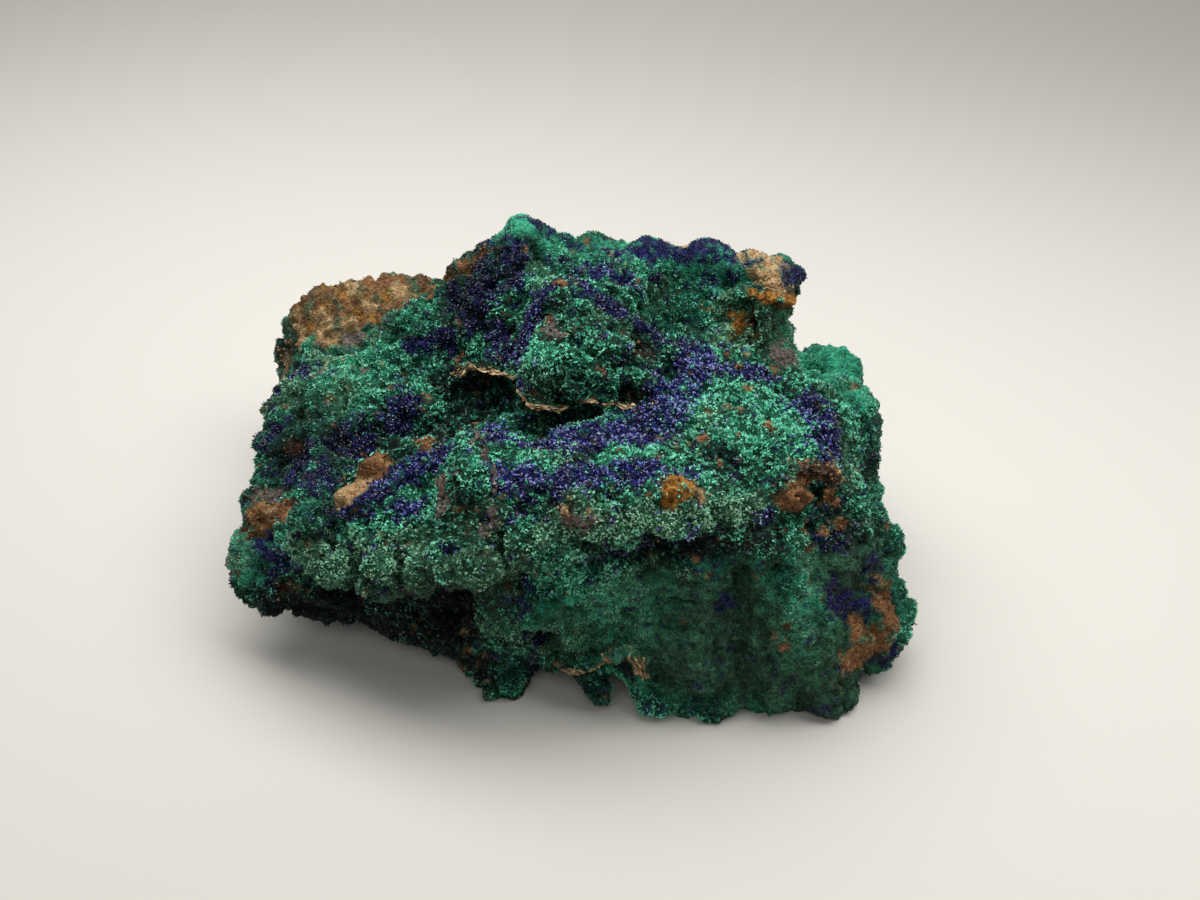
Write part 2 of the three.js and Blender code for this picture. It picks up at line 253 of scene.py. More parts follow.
RAISED = [  # place, height: swellings too broad to be lumps
    (streak((-50, 22, 60), (-30, 30, 71), 6), 1.4),
    (streak((54, -52, 42), (52, -60, 8), 5), 2.6),
    (streak((30, -52, 42), (33, -60, 12), 5), 2.2),
    (streak((65, -46, 38), (66, -56, 12), 4), 2.0),
    (spot(-80, 8, 44, 8), 1.4),
    (spot(-82, -6, 42, 8), 1.6),
    (spot(81, -8, 46, 5), 1.8),
    (spot(84, -34, 36, 6), 1.4),
    (spot(82, -47, 12, 5), 1.6),
    (streak((22, 28, 83), (48, 28, 80), 8), 5.0),
    (spot(84, -28, 31, 8), 2.2),
    (streak((22, -58, 3), (52, -60, 3), 7), 2.0),
    (spot(-57, 6, 55, 7), 1.8),
    (streak((-10, -56, 34), (2, -57, 22), 7), 2.2),
    (streak((10, -52, 59), (44, -45, 56), 3.5), 1.2),
]

SUNK = [  # place, depth: dips and worn corners
    (spot(-85, 32, 47, 13), 4.6),
    (spot(80, -19, 43, 8), 4.4),
    (spot(-81, -24, 37, 5), 1.4),
    (streak((2, 28, 83), (14, 28, 82), 5), 1.8),
    (spot(-83, 20, 48, 7), 1.8),
    (streak((-70, -40, 12), (-50, -42, 9), 8), 1.6),
    (streak((-14, 10, 74), (-4, 17, 80), 3.2), 1.8),
    (streak((6, 14, 80), (24, 8, 73), 3.4), 2.0),
    (streak((24, 10, 69), (34, 14, 68), 5), 2.0),
    (streak((-30, 22, 70), (-22, 10, 68), 4), 2.4),
    (spot(-64, 18, 54, 4), 2.0),
    (spot(-70, -4, 48, 5), 2.0),
    (streak((58, -58, 20), (58, -62, 4), 3.5), 2.0),
    (streak((21, -53, 40), (23, -60, 14), 4), 2.6),
    (streak((42, -53, 40), (43, -60, 14), 3.6), 2.2),
    (spot(70, -46, 30, 5), 2.0),
    (spot(76, -30, 40, 5), 1.6),
    (spot(84, -44, 22, 8), 4.4),
]

CRAGGY = [spot(-70, 16, 45, 58), spot(0, 60, 40, 60), spot(-85, -30, 25, 34), spot(88, -30, 25, 30)]
CALM = [spot(-12, 31, 89, 12), spot(60, 12, 66, 9), streak((4, 28, 85), (52, 28, 81), 9)]
FOLDED = [spot(40, -62, 20, 44)]  # the apron, whose folds hang down
CRISP = [streak((-20, -22, 62), (45, -22, 62), 52)]  # where the crystals are cleanest
SMOOTH = [  # where they are fine and velvety
    streak((20, -60, 26), (66, -58, 12), 20), streak((36, -56, 36), (84, -44, 30), 12),
    spot(-60, 42, 56, 24), spot(-12, 31, 88, 12), streak((6, 29, 84), (60, 26, 78), 7), spot(60, 12, 66, 9),
    spot(74, 8, 54, 16), spot(-82, -32, 30, 12), spot(0, -57, 26, 12),
]
JAGGED = [streak((-74, -38, 17), (-30, -44, 8), 9)]  # the ragged lower edge of the arm


def turned(degrees):
    """The matrix that turns a row of coordinates about Z by an angle."""
    c, s = math.cos(math.radians(degrees)), math.sin(math.radians(degrees))
    return np.array([[c, s, 0], [-s, c, 0], [0, 0, 1]])


def ball(centre, radii, turn, knobbly, seed, square=2.0, steps=24):
    """A closed lump on a grid of two angles: a sphere swollen by noise, stretched to its radii and
    turned. Its surface is where the sum of the coordinates, each to the power square, is 1, so it grows
    boxy past 2."""
    around = np.arange(steps * 2) * math.pi / steps
    down = np.linspace(0, math.pi, steps + 1)[1:-1]
    a, d = np.meshgrid(around, down)
    unit = np.stack([np.cos(a) * np.sin(d), np.sin(a) * np.sin(d), np.cos(d)], -1).reshape(-1, 3)
    unit = np.vstack([unit, [[0, 0, 1], [0, 0, -1]]])
    swell = 1 + knobbly * noise(unit, 0.7, seed) + 0.5 * knobbly * noise(unit, 0.35, seed + 1)
    swell /= (np.abs(unit) ** square).sum(-1) ** (1 / square)
    vertices = (unit * swell[:, None] * np.array(radii, float)) @ turned(turn) + np.array(centre, float)
    rows, columns = steps - 1, steps * 2
    grid = np.arange(rows * columns).reshape(rows, columns)
    beside = np.roll(grid, -1, axis=1)
    quads = np.stack([grid[:-1], grid[1:], beside[1:], beside[:-1]], -1).reshape(-1, 4)
    top, bottom = np.full(columns, rows * columns), np.full(columns, rows * columns + 1)
    return vertices, np.vstack([quads[:, [0, 1, 2]], quads[:, [0, 2, 3]],
                                np.stack([top, grid[0], beside[0]], -1),
                                np.stack([bottom, beside[-1], grid[-1]], -1)])


def curve_through(points, steps):
    """A smooth path through a few points: a cubic between each two, with its slope at each point taken
    from the points on either side."""
    p = np.array(points, float)
    slope = np.gradient(p, axis=0)
    at = np.linspace(0, len(p) - 1 - 1e-9, steps)
    n = at.astype(int)
    t = (at - n)[:, None]
    return ((2 * t**3 - 3 * t**2 + 1) * p[n] + (t**3 - 2 * t**2 + t) * slope[n]
            + (3 * t**2 - 2 * t**3) * p[n + 1] + (t**3 - t**2) * slope[n + 1])


def rim(points, reach, thick, seed, steps=90, sides=10):
    """A strip of broken crust: an ellipse carried along a path, wide across it and thin up and down.
    The path wanders and the width is ragged, both by noise, and the width falls to nothing at the
    ends."""
    path = curve_through(points, steps)
    wander = np.stack([noise(path, 2.6, seed + n) for n in range(3)], -1)
    path = path + wander * np.array([0.5, 0.9, 0.6])
    forward = np.gradient(path, axis=0)
    forward /= np.linalg.norm(forward, axis=1)[:, None]
    across = np.cross(forward, [0, 0, 1.0])
    across /= np.linalg.norm(across, axis=1)[:, None]
    up = np.cross(across, forward)
    share = np.linspace(0, 1, steps)
    ends = np.sin(math.pi * np.clip(share * 0.98 + 0.01, 0, 1)) ** 0.4
    uneven = 1 + 0.3 * (noise(path, 2.4, seed) + noise(path, 1.1, seed + 5) + noise(path, 0.55, seed + 9))
    around = np.arange(sides) * 2 * math.pi / sides
    wide = (reach * ends * np.clip(uneven, 0.2, 2))[:, None] * across
    high = (thick * ends * np.clip(uneven[::-1], 0.4, 2))[:, None] * up
    ring = path[:, None] + np.cos(around)[:, None] * wide[:, None] + np.sin(around)[:, None] * high[:, None]
    grid = np.arange(steps * sides).reshape(steps, sides)
    beside = np.roll(grid, -1, axis=1)
    quads = np.stack([grid[:-1], beside[:-1], beside[1:], grid[1:]], -1).reshape(-1, 4)
    caps = [np.stack([np.full(sides - 2, row[0]), row[2:], row[1:-1]], -1)
            for row in (grid[0], grid[-1][::-1])]
    return ring.reshape(-1, 3), np.vstack([quads[:, [0, 1, 2]], quads[:, [0, 2, 3]], *caps])


def mesh_from(name, vertices, triangles):
    """A mesh in metres from vertices in millimetres and triangles."""
    mesh = bpy.data.meshes.new(name)
    mesh.vertices.add(len(vertices))
    mesh.vertices.foreach_set("co", (vertices * MM).astype(np.float32).ravel())
    mesh.loops.add(triangles.size)
    mesh.loops.foreach_set("vertex_index", triangles.astype(np.int32).ravel())
    mesh.polygons.add(len(triangles))
    mesh.polygons.foreach_set("loop_start", np.arange(0, triangles.size, 3, dtype=np.int32))
    mesh.update(calc_edges=True)
    mesh.validate()
    return mesh


def arrays_of(mesh):
    """A mesh's vertices in millimetres and its triangles."""
    places = np.empty(len(mesh.vertices) * 3, np.float32)
    mesh.vertices.foreach_get("co", places)
    corners = np.empty(len(mesh.loops), np.int32)
    mesh.loops.foreach_get("vertex_index", corners)
    return places.reshape(-1, 3).astype(float) / MM, corners.reshape(-1, 3)


def keep(mesh, label, values):
    """Keeps a value at each vertex of a mesh, under a name that its material asks for."""
    mesh.attributes.new(label, "FLOAT", "POINT").data.foreach_set("value", values.astype(np.float32))


def solid_of(node):
    """A CAD node's vertices, with its doubles merged, and its triangles."""
    places, corners = arrays_of(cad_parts[node].data)
    grid, which = np.unique(np.round(places * 1000).astype(np.int64), axis=0, return_inverse=True)
    return grid / 1000, which.reshape(-1)[corners]


def together(shells):
    """Several shells as one list of vertices and one of triangles."""
    counts = np.cumsum([0] + [len(vertices) for vertices, _ in shells[:-1]])
    return (np.vstack([vertices for vertices, _ in shells]),
            np.vstack([triangles + first for (_, triangles), first in zip(shells, counts)]))


def placed(name, data):
    """A new object in the scene, which holds a mesh, a lamp or a lens."""
    holder = bpy.data.objects.new(name, data)
    bpy.context.scene.collection.objects.link(holder)
    return holder


def finished(shell, name, settings):
    """A shell after the modifiers in settings, which are (kind, values), and a last one that splits it
    into triangles."""
    piece = placed(name, mesh_from(name, *shell))
    for kind, values in [*settings, ("TRIANGULATE", {"quad_method": "SHORTEST_DIAGONAL"})]:
        modifier = piece.modifiers.new(kind.lower(), kind)
        for key, value in values.items():
            setattr(modifier, key, value)
    shown = arrays_of(piece.evaluated_get(bpy.context.evaluated_depsgraph_get()).data)
    bpy.data.objects.remove(piece)
    return shown


def one_skin(shells, step):
    """The outside of overlapping shells as one closed skin of even triangles, by a voxel remesh."""
    return finished(together(shells), "skin", [("REMESH", {"mode": "VOXEL", "voxel_size": step * MM})])


def cut_from(shell, hollows):
    """The shell with the hollows cut out of it."""
    cutter = placed("cutter", mesh_from("cutter", *hollows))
    boolean = "BOOLEAN", {"operation": "DIFFERENCE", "object": cutter, "solver": "MANIFOLD"}
    cut = finished(shell, "cut", [boolean])
    bpy.data.objects.remove(cutter)
    return cut


def mean_of_neighbours(values, triangles):
    """For each vertex, the mean of values over the vertices that share a triangle with it."""
    total = np.zeros_like(values)
    count = np.bincount(triangles.ravel(), minlength=len(values)) * 2.0
    for near, far in ((0, 1), (0, 2), (1, 0), (1, 2), (2, 0), (2, 1)):
        for axis in range(values.shape[1]):
            total[:, axis] += np.bincount(triangles[:, near], values[triangles[:, far], axis], len(values))
    return total / np.maximum(count, 1)[:, None]


def relaxed(shell, rounds):
    """The shell with its facets worn down: each round moves a vertex half way to the mean of its
    neighbours, then back by nearly as much, so that the stone keeps its size."""
    vertices, triangles = shell
    for share in [0.5, -0.48] * rounds:
        vertices = vertices + share * (mean_of_neighbours(vertices, triangles) - vertices)
    return vertices, triangles


def normals_of(vertices, triangles):
    """At each vertex, the sum of the cross products of its triangles' sides, made one long."""
    a, b, c = (vertices[triangles[:, n]] for n in range(3))
    face = np.cross(b - a, c - a)
    total = np.stack([sum(np.bincount(triangles[:, n], face[:, axis], len(vertices)) for n in range(3))
                      for axis in range(3)], -1)
    return total / np.maximum(np.linalg.norm(total, axis=1), 1e-12)[:, None]


def pitted(points):
    """Small pits: 1 where noise of 5 and 2.3 mm is high, 0 elsewhere."""
    return smooth_step(0.34, 0.6, noise(points, 5, 77) + 0.4 * noise(points, 2.3, 78))


def relief(points):
    """How far the skin stands out at each point, in millimetres: crags, knobs and clefts of several
    sizes, the folds of the apron, and the raised and sunk places. Rims and calm places stay nearly
    plain."""
    craggy = 0.6 + 0.4 * smooth_step(0, 0.4, nearness(points, CRAGGY))
    folded = smooth_step(0, 0.5, nearness(points, FOLDED))
    edges = [part for path, _, _, _ in RIMS.values() for part in trail(path, RIM_BAND)]
    plain = 1 - 0.8 * smooth_step(0, 0.6, nearness(points, CALM))
    plain -= 0.75 * smooth_step(0, 0.6, nearness(points, edges))
    stretched = points * (1, 1, 0.35)
    swirled = stirred(points, 1.6, 5, 5)
    jagged = smooth_step(0, 0.5, nearness(points, JAGGED))
    out = craggy * 2.0 * layered(points, (13, 7), 11)
    out += craggy * 2.4 * (knobs(swirled, 7, 41) - 0.55)
    out -= craggy * 1.9 * clefts(points, 11, 31)
    out += (1 - 0.4 * folded) * 2.0 * (knobs(swirled, 3.6, 51) - 0.55)
    out -= (1 - 0.5 * folded) * 1.2 * clefts(swirled, 5, 36, 0.3)
    out -= (1 - 0.6 * folded) * 2.2 * pitted(points)
    out += 0.6 * noise(points, 2.2, 57) + jagged * 3.0 * (knobs(points, 3.6, 59) - 0.6)
    out += folded * (1.3 * noise(stretched, 5, 61) + 0.8 * noise(stretched, 2.6, 71))
    out *= np.clip(plain, 0.12, 1)
    for place, height in RAISED:
        out += height * smooth_step(0, 0.8, nearness(points, [place]))
    for place, depth in SUNK:
        out -= depth * smooth_step(0, 0.8, nearness(points, [place]))
    return out


def stone_skin():
    """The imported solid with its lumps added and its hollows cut, worn smooth, then drawn as one fine
    skin with its rims and pushed out along its normals by the relief. It gives the skin and the
    relief."""
    solids = [solid_of("specimen")]
    solids += [ball(centre, radii, turn, knobbly, 300 + n, square)
               for n, (centre, radii, turn, knobbly, square, _) in enumerate(LUMPS.values())]
    hollows = [ball(*shape, 500 + n) for n, shape in enumerate(HOLLOWS.values())]
    rims = [rim(points, reach, thick, 400 + n) for n, (points, reach, thick, _) in enumerate(RIMS.values())]
    body = relaxed(cut_from(one_skin(solids, ROUGH_STEP), one_skin(hollows, ROUGH_STEP)), 6)
    vertices, triangles = relaxed(one_skin([body, *rims], SKIN_STEP), 2)
    out = relief(vertices)
    moved = vertices + normals_of(vertices, triangles) * out[:, None]
    lowest = np.where(vertices[:, 2] < RESTING, np.clip(vertices[:, 2], 0, 0.3), 0.15)
    moved[:, 2] = np.maximum(moved[:, 2], lowest)
    return moved, triangles, out


# ---- Which mineral lies where ------------------------------------------------------------------

# What lies where. 'pale' is a paler tone of the green. 'bright' lightens the green, partly its own tone and
# partly painted light;
# 'dim' darkens it, mostly as painted shade; 'dark' is near-black painted as shade into hollows and clefts,
# with some dark rock.
PLACES = {
    "azurite": [
        streak((-16, 21.5, 85), (-15, 18, 80), 5.2), spot(-19, 16, 75, 4.6), spot(-26, 17, 71, 4),
        spot(-72, -39, 26, 5), spot(-43, -7, 52.5, 5), spot(-66, -17, 45, 4), spot(-60, -25, 45, 4),
        spot(-52, -14, 48, 4.6), streak((-21, 27, 78), (-21, 17, 72), 6), spot(-28, 22, 69, 4),
        spot(-32, 13, 63, 3.4), spot(-25, 14, 68, 3), streak((-8, 31, 88), (13, 25, 83), 3.6),
        streak((13, 25, 84), (50, 26.5, 81.4), 4.6), spot(61, 25, 77, 5.4),
        streak((59, 21, 78), (61, 20, 73), 3), spot(55, 31, 78, 3), streak((24, 19, 77), (44, 22, 76), 2.2),
        streak((4, 18, 82), (16, 14, 79), 3), spot(-4, 20, 84, 3), streak((24, 6, 70), (30, 10, 69), 3),
        streak((34, 10, 68), (32, 4, 67), 3.4), streak((-18, 8, 68), (-13, 0, 66), 3.4),
        spot(-17, 4, 63, 3.6), spot(-12, -2, 66, 2.4), streak((-22, -22, 57), (-12, -16, 57), 3.6),
        streak((-14, -26, 60), (2, -30, 62), 5), streak((2, -30, 62), (22, -26, 62), 6),
        streak((22, -22, 63), (32, -4, 66), 6.4), streak((30, -4, 66), (52, -3, 62), 3),
        streak((-12, -42, 60), (2, -46, 61), 4.4), streak((2, -43, 62), (20, -44, 62), 5),
        streak((20, -40, 61), (30, -44, 61), 2.4), streak((-54, -42, 47), (-42, -38, 54), 2),
        streak((-44, -37, 53), (-29, -29, 57), 3.4), spot(-36, -42, 50, 3.4),
        streak((-24, -44, 57), (-18, -40, 60), 1.8), spot(-10, -50, 54, 3), spot(-59, 24, 54, 3),
        spot(-75, 16, 49, 4.4), spot(-77, 8, 45, 3.6), spot(-42, -4, 53, 4),
        streak((-43, 14, 60), (-38, 13, 61), 2.6), spot(-62, 8, 54, 2), spot(-58, -12, 49, 4),
        spot(-68, -14, 47, 4.4), spot(-62, -26, 44, 4.6), spot(-76, -8, 43, 4), spot(-50, -22, 46, 4.6),
        spot(-38, -18, 50, 4), streak((-74, -33, 31), (-66, -38, 30), 5), spot(-70, -39, 22, 4),
        spot(62, -15, 59, 6), spot(64, -23, 57, 6), spot(62, -30, 54, 4), spot(76, 4, 52, 2.6),
        spot(80, -2, 46, 2.6), spot(66, -42, 40, 3.6), spot(74, -40, 33, 3.8),
        streak((64, -50, 31), (72, -50, 26), 5), spot(79, -50, 10, 4.4), spot(68, -56, 12, 3),
        streak((6, -51, 46), (40, -47, 48), 2.4), spot(84, -47, 9, 3), spot(46, -44, 52, 3),
    ],
    # painted light in part: the green lightened where its tone is paler and where faces catch little light
    "bright": [
        spot(60, 14, 66, 8), streak((-78, -35, 29), (-62, -42, 34), 9), spot(-48, 8, 56, 9),
        spot(-66, -40, 35, 8), spot(10, -54, 42, 11), spot(12, -56, 33, 12), spot(-4, -56, 34, 7),
        streak((-62, -44, 38), (-36, -50, 44), 7), streak((14, 26, 83), (46, 26, 80), 7),
        spot(47, 14, 67, 9), spot(36, 20, 75, 8), spot(8, 17, 81, 7), spot(18, 15, 81, 8),
        spot(-68, -40, 30, 5), streak((40, -16, 62), (54, -20, 60), 16), spot(-50, 5, 57, 15),
        streak((-62, 2, 53), (-44, 8, 58), 9), spot(72, 8, 55, 16), spot(74, -8, 52, 9),
        spot(46, 12, 66, 8), spot(55, -46, 44, 4), spot(-14, 31, 88, 9), spot(-84, -34, 28, 5),
        streak((12, -38, 63), (30, -38, 62), 6), streak((57, -48, 43), (54, -58, 30), 4),
        streak((53, -60, 24), (55, -60, 10), 4), streak((-12, -42, 60), (20, -44, 62), 5),
        streak((2, -30, 62), (24, -24, 62), 6), streak((24, -20, 64), (34, -2, 66), 6), spot(-4, -8, 70, 5),
        spot(-30, -40, 54, 9), spot(2, -57, 27, 8), streak((-58, 12, 56), (-46, 14, 59), 8),
        spot(18, 14, 79, 8), spot(-5, 16, 80, 7), spot(-4, 26, 84, 5), spot(-66, 22, 54, 8),
        spot(-72, 12, 50, 6), streak((-24, -32, 60), (-20, -44, 58), 5), spot(-38, 20, 62, 5),
        streak((-2, -55, 58), (40, -50, 57), 4), spot(-26, 6, 64, 5),
    ],
    "pale": [
        streak((-2, -55, 57), (24, -54.5, 57.5), 5), streak((24, -54.5, 57.5), (46, -46, 55), 4.4),
        streak((-60, -46, 38), (-34, -52, 42), 8), streak((-36, -54, 40), (-14, -56, 48), 8),
        spot(-10, -56, 46, 7), streak((24, -60, 30), (64, -58, 14), 18),
        streak((60, -48, 36), (76, -44, 30), 9), streak((-20, -48, 24), (0, -54, 18), 6),
        spot(2, -57, 25, 9), spot(54, -40, 56, 4), spot(60, 10, 66, 9), spot(-80, -34, 32, 7),
        spot(14, 18, 80, 4), spot(46, 13, 67, 9), spot(-78, 8, 46, 12), spot(-66, 20, 55, 9),
        spot(-50, 20, 60, 6), spot(-64, 38, 58, 9),
    ],
    # painted shade: the green darkened in hollows, under the lip, in the trough and on the lower apron,
    # with a few darker patches of crust
    "dim": [
        spot(-16, 20, 82, 7), spot(-24, 16, 72, 6), spot(-44, -9, 52, 6), spot(-66, -18, 45, 7),
        spot(-72, -12, 44, 6), streak((32, -56, 40), (70, -52, 34), 10),
        streak((30, -60, 22), (62, -60, 8), 14), spot(-20, 23, 75, 8),
        streak((-50, -48, 36), (-34, -52, 38), 5), spot(-30, 13, 65, 6), spot(-43, -7, 52.5, 8),
        streak((-22, -56, 38), (-4, -58, 36), 7), streak((34, -58, 36), (72, -52, 30), 11),
        spot(-62, -4, 48, 8), spot(20, -6, 66, 6), streak((-62, -16, 46), (-36, -15, 50), 10),
        spot(-30, 16, 66, 6), streak((8, -52, 44), (46, -47, 45), 7),
        streak((34, -60, 22), (60, -60, 8), 13), spot(-22, 0, 55, 11),
        streak((-8, -13, 56), (16, -16, 58), 5), streak((-46, -16, 52), (-34, -14, 52), 9),
        spot(-58, -18, 46, 9), spot(63, -22, 57, 8), spot(10, -9, 70, 6), spot(-24, 20, 73, 7),
        spot(70, -42, 34, 12),
    ],
    # painted shade: near-black in the recess under the arm, in holes, clefts and the trough, and under the
    # lip and the brow; some of it is dark rock
    "dark": [
        streak((-68, -37, 14), (-26, -42, 15), 14), streak((-26, -42, 12), (-20, -50, 8), 6),
        spot(-10, -48, 5, 4), spot(-36, -20, 50, 4), spot(62, -37, 50, 4.4), spot(-42, -18, 49, 6),
        spot(14, -60, 13, 4), spot(18.5, -3, 70, 4.6), spot(15, -14, 64, 5), spot(51.5, 13, 68, 3),
        streak((8, -51, 49), (42, -47, 50), 2.4), spot(12, -13, 60, 4),
        streak((-46, -18, 49), (-34, -17, 51), 5), streak((-31, -34, 56), (-31, -44, 53), 1.8),
        spot(-37, -51, 44, 2), spot(-48, -49, 41, 2), streak((24, -53, 47), (44, -48, 48), 3),
    ],
    "rust": [
        streak((-70, 44, 58), (-46, 51, 58), 6), spot(-70, 34, 57, 6), spot(-77, 40, 56, 7),
        spot(-62, 36, 58, 6.6), spot(-56, 38, 57, 5), streak((-40, 33, 65), (-22, 30.5, 78), 2.8),
        spot(-77, 40, 52, 4), spot(-48, 38, 60, 6), streak((56, -36, 57), (66, -32, 54), 2.6),
        spot(14, -4, 73, 2), streak((-82, -31, 31), (-76, -30, 34), 2),
        streak((-77, -28, 36.5), (-67, -33, 42), 4), spot(80, -47, 23, 6.5), spot(77, -50, 16, 5.5),
        streak((68, -55, 14), (76, -52, 15), 4), spot(70, -52, 22, 4), spot(66, -46, 35, 2),
        spot(58, -46, 42, 2), spot(55, -51, 37, 2.4), spot(52.5, -58, 29, 1.6), spot(52, -60, 25, 1.8),
        spot(62, -44, 46, 2.4), spot(66, -41, 45, 2.4), spot(57, -43, 46, 2), spot(-46, -26, 50, 3),
        spot(54, 2, 61, 1.8), spot(-33, -25, 57, 2.4), spot(7, -18, 61, 1.8), spot(32, 29, 80, 2.4),
        spot(-66, 18, 54, 2.4), spot(40, -18, 64, 1.4), spot(46, -10, 64, 1.6), spot(50, -24, 61, 1.6),
        spot(33, -30, 62, 1.6), spot(-1, 8, 82, 2), spot(-8, -11, 62, 1.6), spot(-27, -36, 57, 1.6),
        spot(18, -31, 63, 1.4), spot(44, -2, 65, 1.5), spot(58, -6, 61, 1.4), spot(64, -36, 50, 2.4),
    ],
    "umber": [
        streak((-72, -38, 20), (-50, -44, 22), 2.4), spot(15, -14, 64, 2.4), spot(19, -4, 70.5, 3),
        spot(49, 14, 68, 2.6), spot(-76, -3, 45, 3), spot(-58, 40, 57, 3),
        streak((60, -34, 57), (66, -33, 52), 2), spot(-70, -12, 46, 2.6),
    ],
    "ochre": [
        spot(-66, 42, 58, 3), spot(-52, 44, 58, 3), spot(-60, 36, 57, 2.6),
        streak((47, 15, 70), (45.5, 14, 65), 1.9), spot(50, 13, 63, 1.6), spot(43, 16, 69, 1.8),
        spot(43.6, 13, 64, 1.6), spot(26, -49, 62, 4), spot(-70, 36, 57, 3), spot(-56, 34, 58, 3),
        spot(41, -12, 65, 1.2), spot(4, -17, 62, 1.2), spot(24, -32, 63, 1.4), spot(-74, 32, 54, 2.4),
    ],
    "tan": [
        spot(-70, 35, 57, 3.4), spot(-58, 40, 58, 3), spot(-78, 38, 53, 3.4), spot(50, 21, 77, 3),
        streak((53.5, 19, 77), (55, 18, 74.4), 3.2), spot(32, 29, 81, 2.2), spot(47, 27, 79, 2.2),
        spot(-62, 32, 56, 3), spot(-69, 29, 54, 4), spot(-74, 42, 56, 3), spot(-79, 30, 52, 5),
        streak((40, 30, 79), (48, 29, 77.5), 2), spot(22, -17, 63, 1.2), spot(-50, 46, 59, 3),
        spot(-73, -29, 38, 2.4), streak((50, 27, 82.5), (58, 29, 81), 3.4), spot(54, 24, 79.5, 2.6),
        spot(1, -55.8, 63, 1.8), spot(6, -55, 61.6, 1.4), spot(-42, 32, 66, 1.6), spot(72, -18, 52, 1.4),
        spot(-64, 46, 59, 3),
    ],
    "grey": [
        spot(-67, 41, 58, 3.4), spot(-58, 46, 58, 3), spot(-74, 33, 55, 3),
        streak((-21, -29, 60.6), (-17.3, -41, 59.6), 1.8), streak((-17.3, -41, 59.6), (-15, -51, 55), 1.8),
        streak((-27, -39, 57), (-26, -48, 55), 1.7), spot(-2.5, -1.5, 74, 4), spot(58, 8, 62, 5),
        streak((-70, 27, 53), (-60, 29, 54), 3), spot(-58, 34, 56, 2.6),
        streak((-80, -20, 36), (-72, -23, 38), 2.4), streak((-86, -33, 27), (-80, -36, 24), 2.4),
        spot(3, -55.6, 60, 4), spot(57, 24, 80, 3), spot(-66, 10, 53, 2), spot(66, -31, 53, 3),
        spot(60, 18, 72, 4), spot(-54, 8, 56, 1.4), spot(-48, 42, 60, 3.4), spot(-17, -53, 54, 1.6),
        spot(-20, -36, 61, 1.2),
    ],
}


def on_lumps(points, mineral):
    """1 on the lumps made of a mineral and 0 away from them: the distance from a lump's middle in terms
    of its radii, made a little ragged, against the distance just past its surface."""
    best = np.zeros(len(points))
    for centre, radii, turn, _, _, made_of in LUMPS.values():
        if made_of == mineral:
            away = np.linalg.norm((points - centre) @ turned(turn).T / radii, axis=1)
            best = np.maximum(best, smooth_step(1.6, 1.35, away + 0.15 * noise(points, 1.6, 133)))
    return best


def places_of(mineral):
    """The places of a mineral: those in its list, and the rims that are made of it."""
    margin = 1.1 if mineral == "azurite" else 0.2  # how far it spreads past the rim
    rims = [part for path, reach, _, made_of in RIMS.values()
            if made_of == mineral and mineral not in BROKEN
            for part in trail(path, reach + margin)]
    return PLACES[mineral] + rims


def present(points, mineral, seed, soft=0.14, ragged=0.8):
    """How much of a mineral lies at each point, from 0 to 1: its nearness, made ragged by noise of 6,
    2.8, 1.3 and 0.7 mm, against a threshold."""
    edge = sum(height * noise(points, wave, seed + n)
               for height, wave, n in ((0.5, 6, 0), (0.45, 2.8, 9), (0.35, 1.3, 17), (0.25, 0.7, 23)))
    here = smooth_step(0.1 - soft, 0.1 + soft, nearness(points, places_of(mineral)) + ragged * edge)
    return np.maximum(here, on_lumps(points, mineral))


def strewn(points, waves, seed, low, high):
    """Patches with no place of their own: 1 where the layered noise is above high, 0 where it is below
    low."""
    return smooth_step(low, high, layered(points, waves, seed))


